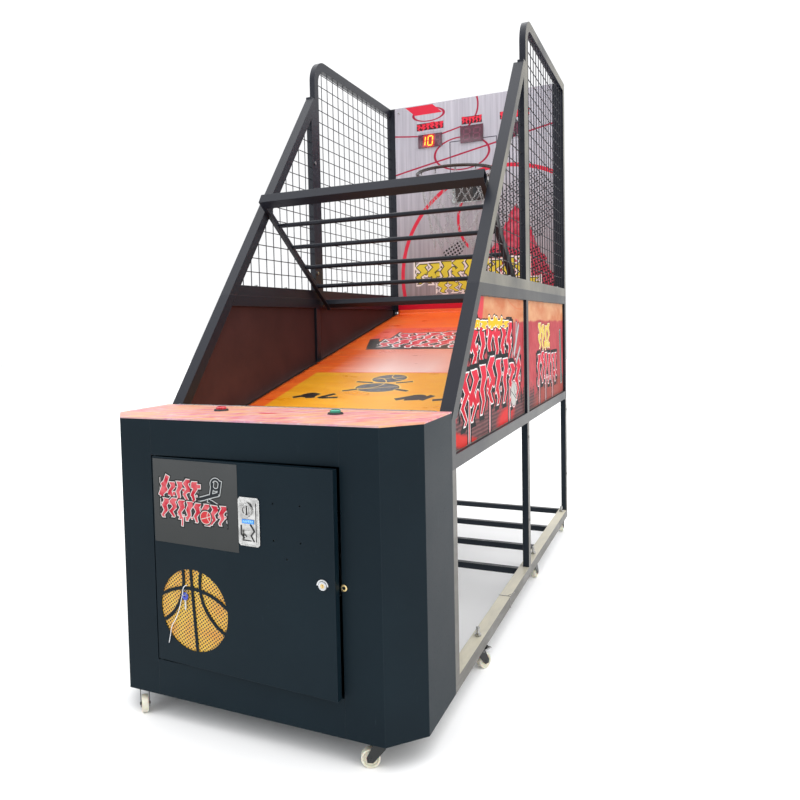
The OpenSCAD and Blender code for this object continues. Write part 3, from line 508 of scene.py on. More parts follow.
def tone(code):
    """A colour written as six hex digits, in the linear numbers that a shader wants."""
    parts = [int(code[i:i + 2], 16) / 255 for i in (0, 2, 4)]
    return tuple(c / 12.92 if c <= 0.04045 else ((c + 0.055) / 1.055) ** 2.4 for c in parts)

print("print bench ready; red is", [round(c, 3) for c in tone("c8203a")])

# %% [markdown]
# The board is a printed hollow plastic sheet, so it has fine ribs under the ink that
# show as faint vertical streaks. On it lie the red court lines, a thin dark target
# rectangle, a checked patch and a row of yellow strokes low down, and a red band
# along its foot. The back of the sheet is left bare.

# %% Backboard print
p = Print("board_print", "X", "Z", wobble=0.0015)
streak = p.fade(p.grain(0.012, 3, 0.6, stretch=(1, 1, 40)), 0.3, 0.75)
low = p.fade(p.z, 1.95, 1.35)
base = p.mix(streak, tone("a9a6b0"), tone("c4c1ca"))
p.colour = p.mix(low, base, p.mix(streak, tone("857a7c"), tone("a89c9e")))
red, deep = tone("d5203c"), tone("a3123a")
court = p.join_up([
    p.math("SUBTRACT", p.math("ABSOLUTE", p.oval(-0.051, 2.055, 0.152, 0.088)), 0.0036),
    p.line((-0.5, 1.962), (0.5, 2.163), 0.009), p.line((-0.435, 2.193), (-0.3, 2.177), 0.008),
    p.line((-0.16, 2.175), (-0.05, 2.2), 0.008),
    p.inside(p.ring(-0.1, 2.31, 0.143, 0.009), p.math("SUBTRACT", -0.02, p.x)),
    p.math("SUBTRACT", p.math("ABSOLUTE", p.oval(-0.236, 2.292, 0.088, 0.036)), 0.003)])
p.ink(deep, court)
skew = p.math("ADD", p.x, p.math("MULTIPLY", p.math("SUBTRACT", p.z, 2.32), 1.1))
p.ink(red, p.inside(p.math("SUBTRACT", p.math("ABSOLUTE", p.math("ADD", skew, 0.264)), 0.079),
                    p.math("SUBTRACT", p.math("ABSOLUTE", p.math("SUBTRACT", p.z, 2.32)), 0.026)))
p.ink(red, p.join_up([p.ring(0.17, 1.389, 0.574, 0.021), p.inside(
    p.ring(0.15, 1.69, 0.225, 0.015), p.math("ADD", p.x, 0.02))]))
target = p.inside(p.block(0.013, 2.0, 0.262, 0.25),
                  p.math("MULTIPLY", p.block(0.013, 2.0, 0.252, 0.24), -1))
p.ink(tone("4a4650"), target)
# a dotted grey cloud with a red hill before it, on the right half
p.ink(tone("2a2628"), p.inside(p.oval(0.29, 1.72, 0.15, 0.2, -20), p.dots(0.014, 0.3, 30)), 0.001)
from_top = p.vec("SUBTRACT", p.flat, (0.242, 1.76, 0))
hill = p.inside(p.vec("DOT_PRODUCT", from_top, (-0.875, 0.483, 0)),
                p.vec("DOT_PRODUCT", from_top, (0.9, 0.436, 0)))
hill = p.math("ADD", hill, p.math("MULTIPLY", p.math("SUBTRACT", p.grain(0.04, 4), 0.5), 0.06))
p.ink(p.mix(p.fade(p.grain(0.03, 3), 0.4, 0.6), tone("b81f3c"), tone("cc5568")), hill, 0.002)
p.ink(tone("1c1418"), p.inside(p.inside(hill, p.math("SUBTRACT", p.z, 1.52)),
                               p.dots(0.016, 0.36, 20)))
check = p.inside(p.oval(-0.11, 1.515, 0.09, 0.04, 40), p.dots(0.018, 0.34, 30))
p.ink(tone("120e12"), check)
row = p.strokes(-0.325, 0.30, 1.415, 0.115, 9, 16, 0.42, 1)
p.scrawl(row, tone("e2cf3c"), tone("4d4820"), tone("efe4de"), 0.0058)
row = p.strokes(-0.2, 0.36, 1.325, 0.07, 9, -12, 0.4, 2)
p.scrawl(row, tone("e2cf3c"), tone("4d4820"), tone("efe4de"), 0.0042)
p.ink(tone("cf0628"), p.math("SUBTRACT", p.z, p.math("ADD", 1.272, p.math(
    "MULTIPLY", p.math("SUBTRACT", p.grain(0.09, 2, at=p.join(p.x, 0.0)), 0.5), 0.02))))
signs = ((0.008, 2.228, 0.112, 0), (-0.228, 2.226, 0.155, 1), (0.238, 2.226, 0.155, 2))
strip = p.join_up([p.strokes(cx - w / 2, cx + w / 2, cz, 0.04, 6, 0, 0.5, s)
                   for cx, cz, w, s in signs])
p.ink(tone("3a1018"), p.join_up([p.block(cx, cz, w, 0.04) for cx, cz, w, s in signs]))
p.ink(tone("e02840"), strip)
behind = p.fade(p.axes(p.new("ShaderNodeNewGeometry").outputs["Normal"])[1], 0.4, 0.6)
p.colour = p.mix(behind, p.colour, p.mix(streak, tone("c9c8c6"), tone("dddcd8")))
rib = p.math("SINE", p.math("MULTIPLY", p.x, 2 * math.pi / 0.009))
_, rounded = p.edges(0.0008)
board_print = p.finish(p.colour, p.math("ADD", 0.34, p.math("MULTIPLY", streak, 0.1)), 0.0,
                       rib, 0.00012, rounded, Specular_IOR_Level=0.3)
dress(board_print, "backboard")

# %% [markdown]
# Each counter is a row of seven-bar digits behind a wine-red window. The bars are
# laid out by one list of places; which of them glow is chosen per digit. Lit bars
# shine yellow-orange with a red halo, and the dark ones stay just visible.

# %% Counters
BARS = {"top": (0, 1, 1, 0), "mid": (0, 0, 1, 0), "low": (0, -1, 1, 0), "ul": (-1, 0.5, 0, 1),
        "ur": (1, 0.5, 0, 1), "ll": (-1, -0.5, 0, 1), "lr": (1, -0.5, 0, 1)}
LIT = {"0": ("top", "low", "ul", "ur", "ll", "lr"), "1": ("ur", "lr"), "-": ()}

def digit(p, cx, cz, w, h, what):
    on, off = [], []
    for name, (bx, bz, flat, tall) in BARS.items():
        length = w * 0.8 if flat else h * 0.4
        x = cx + bx * w / 2 + bz * h * 0.045
        shape = p.block(x, cz + bz * h / 2, length if flat else w * 0.2,
                        w * 0.2 if flat else length, 0 if flat else -6)
        (on if name in LIT[what] else off).append(shape)
    return on, off

p = Print("counter_window", "X", "Z")
p.colour = p.mix(p.fade(p.grain(0.03, 2), 0.3, 0.7), tone("3a0a20"), tone("5a1030"))
lit, dark = [], []
for cx, cz, w, h, text in ((0.008, 2.152, 0.034, 0.058, "--"), (-0.226, 2.145, 0.026, 0.05, "10-"),
                           (0.238, 2.145, 0.026, 0.05, "---")):
    for i, what in enumerate(text):
        on, off = digit(p, cx + (i - (len(text) - 1) / 2) * w * 1.62, cz, w, h, what)
        lit, dark = lit + on, dark + off
p.ink(tone("6a2440"), p.join_up(dark))
glow = p.join_up(lit)
halo = p.fade(glow, 0.014, 0.0)
p.colour = p.mix(p.math("MULTIPLY", halo, 0.75), p.colour, tone("d01010"))
bars = p.ink(tone("ffc020"), glow)
shine = p.mix(bars, p.mix(halo, (0, 0, 0), (0.25, 0.01, 0.0)), (1.0, 0.42, 0.04))
p.feed(p.skin.inputs["Emission Color"], shine)
_, rounded = p.edges(0.0012)
counter_window = p.finish(p.colour, 0.2, 0.0, p.grain(0.02, 2), 0.0001, rounded,
                          Emission_Strength=1.6, Coat_Weight=0.4)
dress(counter_window, "displays")

# %% [markdown]
# The side panels carry a loud street print outside and are plain maroon inside. The
# print is a peach cloudy top band, a pink and red field, a grey halftone foot, and
# two rows of bold red bolts with a white outline over a black shadow. Each panel
# has its own bolts; one material serves all four, because it is laid out along
# the machine.

# %% Side panel print
p = Print("side_print", "Y", "Z", wobble=0.006)
haze = p.fade(p.grain(0.12, 5, 0.6), 0.3, 0.72)
spray = p.fade(p.grain(0.02, 5, 0.7, stretch=(1, 0.5, 2)), 0.4, 0.62)
p.colour = p.mix(haze, tone("bc3a45"), tone("dc7075"))
p.colour = p.mix(p.math("MULTIPLY", spray, 0.5), p.colour, tone("96182c"))
low = p.math("SUBTRACT", p.z, p.math("ADD", 0.79, p.math("MULTIPLY", haze, 0.09)))
p.ink(p.mix(haze, tone("6e4446"), tone("8f6e6e")), low, 0.012)
p.ink(tone("35262b"), p.inside(low, p.dots(0.013, 0.33, 0)), 0.001)
p.ink(tone("e03030"), p.oval(-0.17, 0.772, 0.13, 0.035, 4), 0.012)
p.ink(tone("d83028"), p.line((-0.87, 0.79), (-0.60, 0.735), 0.04), 0.006)
p.ink(tone("a85046"), p.oval(0.82, 0.77, 0.42, 0.075, 2), 0.015)
top = p.math("SUBTRACT", 1.128, p.math("ADD", p.z, p.math("MULTIPLY", haze, 0.014)))
p.ink(p.mix(p.fade(p.grain(0.2, 4, stretch=(1, 1, 0.35)), 0.35, 0.65), tone("d58a5e"),
            tone("e8b98c")), top, 0.004)
p.ink(tone("e08a5c"), p.inside(top, p.ring(0.1, 1.93, 0.76, 0.004)), 0.003)
p.ink(tone("e4525c"), p.block(-0.535, 1.17, 0.09, 0.1, -20), 0.006)
p.deepen((0.75, 0.66, 0.66))
for x0, x1, z, high, n, seed in ((-0.66, -0.05, 1.035, 0.165, 6, 0), (-0.78, 0.10, 0.905, 0.17, 8, 1),
                                 (0.46, 1.0, 0.895, 0.15, 6, 2)):
    rows = p.strokes(x0, x1, z, high, n, 9, 0.36, seed)
    drip = p.join_up([p.line((x0 + (x1 - x0) * k, z), (x0 + (x1 - x0) * k - 0.01, z - high), 0.012)
                      for k in (0.12, 0.42, 0.77)])
    shade = p.mix(p.fade(p.z, z - high * 0.5, z + high * 0.5), tone("b00c20"), tone("cc2840"))
    p.scrawl(p.join_up([rows, drip]), shade, tone("e2d8d8"), tone("12181a"), 0.0045, 4.5)
caps = p.strokes(-0.64, -0.1, 1.112, 0.03, 5, 9, 0.5, 0)
p.scrawl(caps, tone("f0b020"), tone("f6ecec"), tone("403018"), 0.003)
p.scrawl(p.strokes(0.5, 0.8, 1.04, 0.12, 4, 6, 0.4, 3), tone("d0b850"), tone("e8d8c0"),
         tone("8a4a40"), 0.003)
p.scrawl(p.line((1.11, 1.07), (1.15, 0.80), 0.034), tone("3c6660"), tone("b8c8c0"),
         tone("6a4048"), 0.003)
# a plain ball with splashes beside the strokes
p.scrawl(p.disc(-0.03, 0.845, 0.045), tone("b4b4b0"), tone("35262b"), tone("d8bcbc"), 0.003)
p.ink(tone("303838"), p.inside(p.disc(-0.03, 0.845, 0.045), p.join_up([
    p.ring(0.02, 0.88, 0.045, 0.004), p.line((-0.08, 0.86), (0.02, 0.82), 0.004)])))
p.scrawl(p.join_up([p.line((-0.02, 0.99), (0.075, 1.11), 0.022), p.line((0.02, 0.96),
         (0.10, 1.02), 0.016), p.line((0.02, 1.05), (0.03, 1.12), 0.012)]),
         tone("a8acac"), tone("161c1c"), tone("c85058"), 0.004)
p.ink(tone("7c7c74"), p.math("SUBTRACT", 0.0, p.join_up([p.block(-0.35, 0.9775, 1.04, 0.455),
                                                        p.block(0.713, 0.9775, 0.99, 0.455)])))
inner = p.mix(p.fade(p.z, 1.2, 0.78), p.mix(haze, tone("3a2626"), tone("452c2c")),
              p.mix(haze, tone("4a302e"), tone("573935")))
facing = p.axes(p.new("ShaderNodeNewGeometry").outputs["Normal"])[0]
out = p.fade(p.math("MULTIPLY", facing, p.math("SIGN", p.axes()[0])), 0.0, 0.1)
side_print = p.finish(p.mix(out, inner, p.colour), p.math("ADD", 0.45, p.math(
    "MULTIPLY", haze, 0.12)), 0.0, p.grain(0.18, 2), 0.0012, None, Specular_IOR_Level=0.04)
dress(side_print, "side_panels")

# %% [markdown]
# The plate on the door is a grey printed sheet with the same kind of strokes, drawn
# small and bright, and a ball with a splash. It turns with the door, so its picture
# is laid out in the door's own directions: the pattern is turned back by the angle
# at which the door stands.

# %% Door plate print
ajar = ((-0.2825, -1.242, 0), (0, 0, -3))
p = Print("door_plate_print", "X", "Z", turn=ajar, wobble=0.0035)
# distances run from the hinge
hx = 0.2825
mist = p.fade(p.grain(0.15, 3), 0.3, 0.7)
p.colour = p.mix(p.math("MULTIPLY", p.fade(p.z, 0.52, 0.76), 0.7), tone("474949"), tone("5b5d5e"))
p.colour = p.mix(p.math("MULTIPLY", mist, 0.25), p.colour, tone("424646"))
arm = p.join_up([p.line((hx - 0.125, 0.655), (hx - 0.06, 0.675), 0.009),
                 p.line((hx - 0.06, 0.675), (hx - 0.052, 0.71), 0.008),
                 p.line((hx - 0.085, 0.668), (hx - 0.078, 0.705), 0.008),
                 p.line((hx - 0.095, 0.655), (hx - 0.055, 0.64), 0.008),
                 p.ring(hx - 0.068, 0.7, 0.014, 0.006)])
p.scrawl(arm, tone("2c3236"), tone("d8dcdc"), tone("3a3c3c"), 0.0022)
for x0, x1, z, high, n, seed in ((-0.262, -0.13, 0.672, 0.062, 5, 1), (-0.262, -0.035, 0.618, 0.058,
                                                                      8, 2)):
    row = p.strokes(hx + x0, hx + x1, z, high, n, 11, 0.4, seed)
    if seed == 1:
        row = p.join_up([row, p.line((hx - 0.262, 0.655), (hx - 0.235, 0.713), 0.013),
                         p.line((hx - 0.12, 0.69), (hx - 0.152, 0.69), 0.01)])
    else:
        row = p.join_up([row, p.line((hx - 0.185, 0.60), (hx - 0.187, 0.575), 0.005),
                         p.line((hx - 0.1, 0.605), (hx - 0.1, 0.585), 0.016)])
    shade = p.mix(p.fade(p.grain(0.03, 2), 0.4, 0.6), tone("d42a40"), tone("f07078"))
    p.scrawl(row, shade, tone("f2ecea"), tone("2a2c2c"), 0.0022)
ball = p.disc(hx - 0.105, 0.607, 0.017)
p.scrawl(ball, tone("e4464a"), tone("f6e8e0"), tone("2a2c2c"), 0.002)
p.ink(tone("f6e8e0"), p.inside(ball, p.join_up([p.ring(hx - 0.08, 0.612, 0.02, 0.002),
                                               p.line((hx - 0.125, 0.60), (hx - 0.085, 0.612),
                                                      0.002)])))
p.deepen((0.6, 0.6, 0.6))
edge, rounded = p.edges(0.0008)
p.colour = p.mix(p.math("MULTIPLY", edge, 0.5), p.colour, tone("6a6c6c"))
plate_print = p.finish(p.colour, 0.5, 0.0, p.grain(0.0012, 2), 0.00003, rounded,
                       Specular_IOR_Level=0.12)
dress(plate_print, "poster_plate")

# %% [markdown]
# The deck print is a warm pink with brush-like peach and white streaks running at a
# slant, and one small red spot between the buttons; the glossy clear film over it is
# not made. A grain pulled out ten times along one direction gives the streaks.

# %% Control deck print
p = Print("deck_print", "X", "Y", wobble=0.004)
slant = p.turned(p.flat, (0, 0, 0), (0, 0, 34), (5, 1, 1))
streak = p.fade(p.grain(0.016, 4, 0.6, at=slant), 0.42, 0.58)
wide = p.fade(p.grain(0.03, 3, 0.5, at=slant), 0.44, 0.56)
p.colour = p.mix(streak, tone("e4707c"), tone("f2b2a6"))
p.colour = p.mix(p.math("MULTIPLY", wide, 0.8), p.colour, tone("f6b478"))
fine = p.fade(p.grain(0.009, 2, 0.5, at=slant), 0.6, 0.7)
p.colour = p.mix(p.math("MULTIPLY", fine, 0.7), p.colour, tone("fbeee4"))
p.ink(tone("e0344a"), p.oval(-0.012, -1.07, 0.026, 0.012, 14), 0.002)
p.ink(tone("c9a0a8"), p.math("SUBTRACT", p.math("ADD", p.z, 1.25), 0.0002), 0.001)
p.deepen((0.72, 0.8, 0.94))
_, rounded = p.edges(0.0012)
deck_print = p.finish(p.colour, 0.42, 0.0, p.grain(0.05, 3), 0.0003, rounded,
                      Specular_IOR_Level=0.1)
dress(deck_print, "console_top")

# %% [markdown]
# The board under the ramp's banner is painted plywood: dark brown paint that has
# sunk into long grain lines and is scuffed by balls at its edges; the scuffs are
# drawn as pale patches scattered all over it.

# %% Ramp board finish
f = Finish("ramp_board_paint")
wood = f.fade(f.grain(0.004, 5, 0.6, stretch=(1, 22, 1)), 0.3, 0.7)
rub = f.fade(f.grain(0.03, 5, 0.7), 0.6, 0.78)
colour = f.mix(wood, tone("1f1512"), tone("33231d"))
colour = f.mix(f.math("MULTIPLY", rub, 0.4), colour, tone("5a463a"))
_, rounded = f.edges(0.0015)
dress(f.finish(colour, f.math("ADD", 0.42, f.math("MULTIPLY", rub, 0.2)), 0.0, wood, 0.0002,
               rounded), "ramp_deck")

# %% [markdown]
# The ramp is covered by a printed vinyl banner, pulled flat and tacked under at its
# ends; the tuck under is not made. Cut sheet never lies quite still: shallow folds run
# in from its left edge and die out toward the middle. The banner is a fine grid, and
# each fold is one line of the formula that lifts it; a slight thickness then turns the
# grid into a sheet. It is modelled by formula rather than by cloth simulation, since a
# stretched banner has no drape to find. Its upper end is turned up against the
# board's foot, which closes the slit behind the ramp.

# %% Banner
slope = math.radians(12)
hinge = Vector((0, -0.907, 0.735))
tip = Matrix.Translation(hinge) @ Matrix.Rotation(slope, 4, "X")
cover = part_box("ramp_cover")
s_low = 0.006
s_high = (1.198 + 0.907) / math.cos(slope)
bend_r, turn_up = 0.005, 0.0235
wide = 0.876
bpy.ops.object.select_all(action="DESELECT")
bpy.ops.mesh.primitive_grid_add(x_subdivisions=64, y_subdivisions=420, size=1,
                                location=(0, 0, 0))
banner = bpy.context.object
banner.name = "ramp_banner"
FOLDS = [(0.62, 0.9), (0.74, 0.7), (0.84, 1.0), (0.93, 1.3), (0.97, 1.1), (1.055, 1.5), (1.10, 0.8),
         (1.185, 1.4), (1.24, 0.9), (1.31, 1.2), (1.52, 0.9), (1.79, 1.1), (1.9, 0.8), (2.06, 1.3)]
for v in banner.data.vertices:
    share = (v.co.y + 0.5) / 0.965
    x, s = v.co.x * wide, s_low + min(share, 1) * (s_high - s_low)
    past = max(0.0, share - 1) * 0.965 / 0.035 * turn_up
    lift = 0.00035
    for k, (at, tall) in enumerate(FOLDS):
        reach = max(0.0, 1 - (x + wide / 2) / (0.34 + 0.12 * math.sin(k * 2.1)))
        other = max(0.0, 1 - (wide / 2 - x) / (0.16 + 0.06 * math.cos(k * 1.7)))
        bend = at + 0.012 * math.sin(x * 7 + k)
        lift += 0.0019 * tall * (reach ** 1.5 + 0.6 * other ** 1.5) * math.exp(
            -((s - bend) / 0.0075) ** 2)
    lift += 0.00022 * (1 + math.sin(s * 31 + x * 5) * math.cos(x * 9 - s * 3))
    v.co = tip @ Vector((x, s, lift if share < 1 else 0.0004))
    if past:
        swing = slope + min(past / bend_r, math.pi / 2 - slope)
        v.co.y += bend_r * (math.sin(swing) - math.sin(slope))
        v.co.z += bend_r * (math.cos(slope) - math.cos(swing))
        v.co.z += max(0.0, past - bend_r * (math.pi / 2 - slope))
skin = banner.modifiers.new("thickness", "SOLIDIFY")
skin.thickness, skin.offset = 0.00045, 1
bpy.ops.object.modifier_apply(modifier="thickness")
bpy.ops.object.shade_smooth()
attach(banner, "machine")
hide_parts("ramp_cover")
print("banner", round(wide, 3), "by", round(s_high - s_low + turn_up, 3), "m,", len(FOLDS), "folds")

# %% [markdown]
# The banner's print runs from red-orange at the hoop to a yellow panel near the
# player: a black band with slanted red strokes, a pale pink glare band under it, and
# on the yellow panel a ball between two cupped shapes and a row of fat black
# dashes. It is laid out in the slope's own directions.

# %% Banner print
p = Print("banner_print", "X", "Y", turn=(tuple(hinge), (12, 0, 0)), wobble=0.003)
cloth = p.fade(p.grain(0.12, 4, 0.6, stretch=(2, 0.6, 1)), 0.3, 0.7)
p.colour = p.mix(cloth, tone("f4581c"), tone("ff7a28"))
band = p.math("MULTIPLY", p.fade(p.math("ABSOLUTE", p.math("SUBTRACT", p.x, 0.02)), 0.34, 0.1),
              p.math("MULTIPLY", p.fade(p.z, 0.904, 0.908), p.fade(p.z, 1.302, 1.296)))
p.colour = p.mix(p.math("MULTIPLY", band, 0.85), p.colour,
                 p.mix(p.fade(p.z, 0.95, 1.3), tone("fbd8d0"), tone("f6a08c")))
panel = p.block(0, 1.63, 0.72, 0.25, 0)
p.ink(p.mix(cloth, tone("ee4a30"), tone("f46a50")), panel, 0.002)
p.ink(tone("35302e"), p.join_up([p.block(0.01, 1.385, 0.62, 0.17), p.block(
    -0.31, 1.43, 0.05, 0.19, 16), p.block(0.33, 1.43, 0.05, 0.19, -16)]), 0.0015)
row = p.join_up([p.strokes(-0.24, 0.26, 1.56, 0.17, 7, 10, 0.4, 1),
                 p.strokes(-0.27, 0.30, 1.41, 0.17, 8, 10, 0.4, 3)])
p.scrawl(row, p.mix(p.fade(p.grain(0.03, 2), 0.4, 0.6), tone("d22638"), tone("f0626c")),
         tone("f8ecea"), tone("35302e"), 0.0065)
p.ink(p.mix(cloth, tone("f39c10"), tone("fab428")), p.block(0, 0.5, 0.73, 0.798), 0.001)
p.ink(tone("8c5a10"), p.inside(p.math("SUBTRACT", 0.44, p.z), p.inside(
    p.math("ABSOLUTE", p.block(0, 0.5, 0.636, 0.7)), p.math("SUBTRACT", p.math(
        "ABSOLUTE", p.block(0, 0.5, 0.636, 0.7)), 0.0022))))
ball = p.join_up([p.oval(0.0, 0.815, 0.066, 0.052, 10), p.oval(-0.005, 0.69, 0.085, 0.055, -4)])
p.scrawl(ball, p.mix(p.fade(p.grain(0.03, 4, 0.7), 0.35, 0.65), tone("3c3c40"), tone("6c6c74")),
         tone("2a2624"), tone("f8c860"), 0.003)
p.ink(tone("f8c860"), p.inside(ball, p.join_up([
    p.ring(0.06, 0.86, 0.06, 0.004), p.ring(-0.07, 0.75, 0.075, 0.004),
    p.line((-0.07, 0.80), (0.07, 0.845), 0.004), p.line((-0.09, 0.66), (0.08, 0.71), 0.003)])))
p.scrawl(p.join_up([p.line((-0.12, 0.765), (-0.05, 0.755), 0.012), p.line((0.05, 0.755),
         (0.11, 0.775), 0.012), p.line((-0.13, 0.64), (-0.08, 0.665), 0.014),
         p.line((0.08, 0.67), (0.13, 0.65), 0.014)]), tone("2a2624"), tone("2a2624"),
         tone("f8c860"), 0.002)
dash = p.join_up([p.line((x, 0.545), (x + w, 0.545 + h), t) for x, w, h, t in (
    (-0.30, 0.075, 0.05, 0.024), (-0.235, 0.02, 0.055, 0.028), (-0.19, 0.045, 0.055, 0.022),
    (-0.175, 0.06, 0.01, 0.018), (0.12, 0.07, 0.05, 0.026), (0.155, 0.05, 0.01, 0.02),
    (0.215, 0.03, 0.055, 0.024), (0.26, 0.06, 0.02, 0.022), (-0.245, 0.035, 0.01, 0.016))]
    + [p.oval(-0.245, 0.578, 0.035, 0.028, 20), p.oval(0.19, 0.58, 0.034, 0.026, 20)])
p.scrawl(dash, tone("211c1a"), tone("211c1a"), tone("f9c85a"), 0.001)
dirt = p.fade(p.grain(0.05, 6, 0.7, stretch=(3, 0.7, 1)), 0.58, 0.8)
p.colour = p.mix(p.math("MULTIPLY", dirt, 0.14), p.colour, tone("7a4020"))
weave = p.math("MULTIPLY", p.math("SINE", p.math("MULTIPLY", p.x, 2 * math.pi / 0.0022)),
               p.math("SINE", p.math("MULTIPLY", p.z, 2 * math.pi / 0.0022)))
banner_print = p.finish(p.colour, p.math("ADD", 0.26, p.math("MULTIPLY", cloth, 0.1)), 0.0, weave,
                        0.00005, None, Coat_Weight=0.15, Coat_Roughness=0.2)
dress(banner_print, banner)

# %% [markdown]
# A helper for the shapes that follow. The glare on a turned part, such as a wheel or
# a button, comes from its profile, so such parts are spun: a few points are drawn as
# one open line and turned about an axis in edit mode. What repeats is made once and
# copied, each copy with its own mesh, then its place is applied so that the object
# itself sits at the origin.

# %% Spinning and placing
def spun(name, profile, steps=32):
    """Turns a profile of (radius, height) pairs about Z."""
    bpy.ops.object.select_all(action="DESELECT")
    bpy.ops.mesh.primitive_circle_add(vertices=len(profile), radius=1, fill_type="NOTHING")
    ob = bpy.context.object
    ob.name = name
    bpy.ops.object.mode_set(mode="EDIT")
    mesh = bmesh.from_edit_mesh(ob.data)
    mesh.verts.ensure_lookup_table()
    closing = [e for e in mesh.edges if {v.index for v in e.verts} == {0, len(profile) - 1}]
    bmesh.ops.delete(mesh, geom=closing, context="EDGES_FACES")
    for v, (r, h) in zip(mesh.verts, profile):
        v.co = (r, 0, h)
        v.select = True
    bmesh.update_edit_mesh(ob.data)
    bpy.ops.mesh.select_all(action="SELECT")
    bpy.ops.mesh.spin(steps=steps, angle=2 * math.pi, center=(0, 0, 0), axis=(0, 0, 1))
    bpy.ops.mesh.select_all(action="SELECT")
    bpy.ops.mesh.remove_doubles(threshold=0.00001)
    bpy.ops.mesh.normals_make_consistent(inside=False)
    bpy.ops.object.mode_set(mode="OBJECT")
    bpy.ops.object.shade_smooth_by_angle(angle=math.radians(35))
    return ob

def copy_at(source, name, matrix):
    ob = source.copy()
    ob.data = source.data.copy()
    ob.name = name
    bpy.context.scene.collection.objects.link(ob)
    ob.matrix_world = matrix
    return ob

def joined(name, parts):
    """Applies each part's place and makes one piece of them."""
    bpy.ops.object.select_all(action="DESELECT")
    for ob in parts:
        ob.select_set(True)
    bpy.context.view_layer.objects.active = parts[0]
    bpy.ops.object.make_single_user(object=True, obdata=True)
    bpy.ops.object.transform_apply(location=True, rotation=True, scale=True)
    if len(parts) > 1:
        bpy.ops.object.join()
    ob = bpy.context.object
    ob.name = name
    return ob

def put(ob, body, slot, material, *replaced):
    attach(ob, body)
    if replaced:
        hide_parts(*replaced)
    ob.data.materials.clear()
    ob.data.materials.append(material)
    print(ob.name, "rides on", body, "with", len(ob.data.polygons), "faces")

def drop(*obs):
    for ob in obs:
        bpy.data.objects.remove(ob, do_unlink=True)

# %% [markdown]
# The side cages are filled with welded mesh: round upright wires outside, level
# wires laid across them inside; the beads of melted zinc at the crossings are not
# made. A flat plate with holes would look stamped, so the wires are real rods. One
# short rod is made and copied to each place, with its length cut by the frame that
# it is welded into: a sloping post in front, a rounded corner behind.

# %% Rods
bpy.ops.object.select_all(action="DESELECT")
bpy.ops.mesh.primitive_cylinder_add(vertices=8, radius=1, depth=1, location=(0, 0, 0.5))
rod_stock = bpy.context.object
bpy.ops.object.transform_apply(location=True)
bpy.ops.object.shade_smooth_by_angle(angle=math.radians(50))

def rod(a, b, radius, name="rod"):
    """A copy of the stock rod, from point a to point b."""
    a, b = Vector(a), Vector(b)
    aim = (b - a).to_track_quat("Z", "Y").to_matrix().to_4x4()
    size = Matrix.Diagonal((radius, radius, (b - a).length, 1))
    return copy_at(rod_stock, name, Matrix.Translation(a) @ aim @ size)

# %% Welded mesh
WIRE_RADIUS = 0.0019
low, wall = 1.287, 0.0125 + 0.46
front_y, mid_y, rear_y, top_z = -0.4926, 0.176, 1.21, 2.31
bend = (0.326, 2.24, 0.07)

def front_top(y):
    """Height of the sloping post's inner edge at y."""
    return low + (y - front_y) / 0.8335

def rear_top(y):
    """Height of the rear frame's inner edge at y, round its corner."""
    cy, cz, r = bend
    return top_z if y > cy else cz + math.sqrt(max(0.0, r * r - (cy - y) ** 2))

def rear_front(z):
    """Front edge of the rear frame's opening at height z."""
    cy, cz, r = bend
    return cy - (math.sqrt(max(0.0, r * r - (z - cz) ** 2)) if z > cz else r)

for side, name in ((1, "right"), (-1, "left")):
    wires = []
    out, inn = side * (wall + 0.0014), side * (wall - 0.0014)
    for i in range(1, 11):
        y = front_y + i * 0.062
        wires.append(rod((out, y, low - 0.002), (out, y, front_top(y) + 0.002), WIRE_RADIUS))
    for i in range(1, 15):
        z = low + i * 0.056
        y = front_y + (z - low) * 0.8335
        if y < mid_y - 0.02:
            wires.append(rod((inn, y - 0.002, z), (inn, mid_y + 0.001, z), WIRE_RADIUS))
    for i in range(1, 16):
        y = 0.256 + i * 0.062
        if y < rear_y:
            wires.append(rod((out, y, low - 0.002), (out, y, rear_top(y) + 0.002), WIRE_RADIUS))
    for i in range(1, 19):
        z = low + i * 0.056
        if z < top_z - 0.01:
            wires.append(rod((inn, rear_front(z) - 0.002, z), (inn, rear_y + 0.002, z), WIRE_RADIUS))
    mesh_piece = joined("cage_mesh_" + name, wires)
    put(mesh_piece, "machine", "mesh_paint", frame_paint)
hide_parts("mesh_panels")
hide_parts("mesh_panels")

# %% [markdown]
# The net is chain. Twelve hooks under the rim carry zigzag rows of oval links, row
# under row, each row drawn in a little. One link is a ring pulled long; two links at
# right angles make a pair, and an Array modifier makes a strand of pairs. Each leg
# of the zigzag is a copy of that strand, laid between two knots.

# %% Chain net
bpy.ops.object.select_all(action="DESELECT")
links = []
for k in (0, 1):
    bpy.ops.mesh.primitive_torus_add(major_radius=0.0036, minor_radius=0.0008, major_segments=10,
                                     minor_segments=4, rotation=(math.pi / 2 * k, 0, 0))
    link = bpy.context.object
    bpy.ops.object.transform_apply(rotation=True)
    for v in link.data.vertices:
        v.co.x += (0.0026 if v.co.x > 0 else -0.0026) + k * 0.0098
    links.append(link)
strand = joined("strand", links)
run = strand.modifiers.new("links", "ARRAY")
run.count, run.use_relative_offset, run.use_constant_offset = 4, False, True
run.constant_offset_displace = (0.0196, 0, 0)
bpy.context.view_layer.objects.active = strand
bpy.ops.object.modifier_apply(modifier="links")
hoop_y = 0.9
drop_top, drop_end = 1.872, 1.507
levels = 5

def knot(level, k):
    share = level / levels
    radius = 0.195 + (0.112 - 0.195) * share ** 0.85
    a = math.radians(15 + 30 * k + 15 * (level % 2))
    sag = 0.004 * math.sin(k * 2.3 + level)
    return Vector((radius * math.cos(a), hoop_y + radius * math.sin(a),
                   drop_top + (drop_end - drop_top) * share + sag))

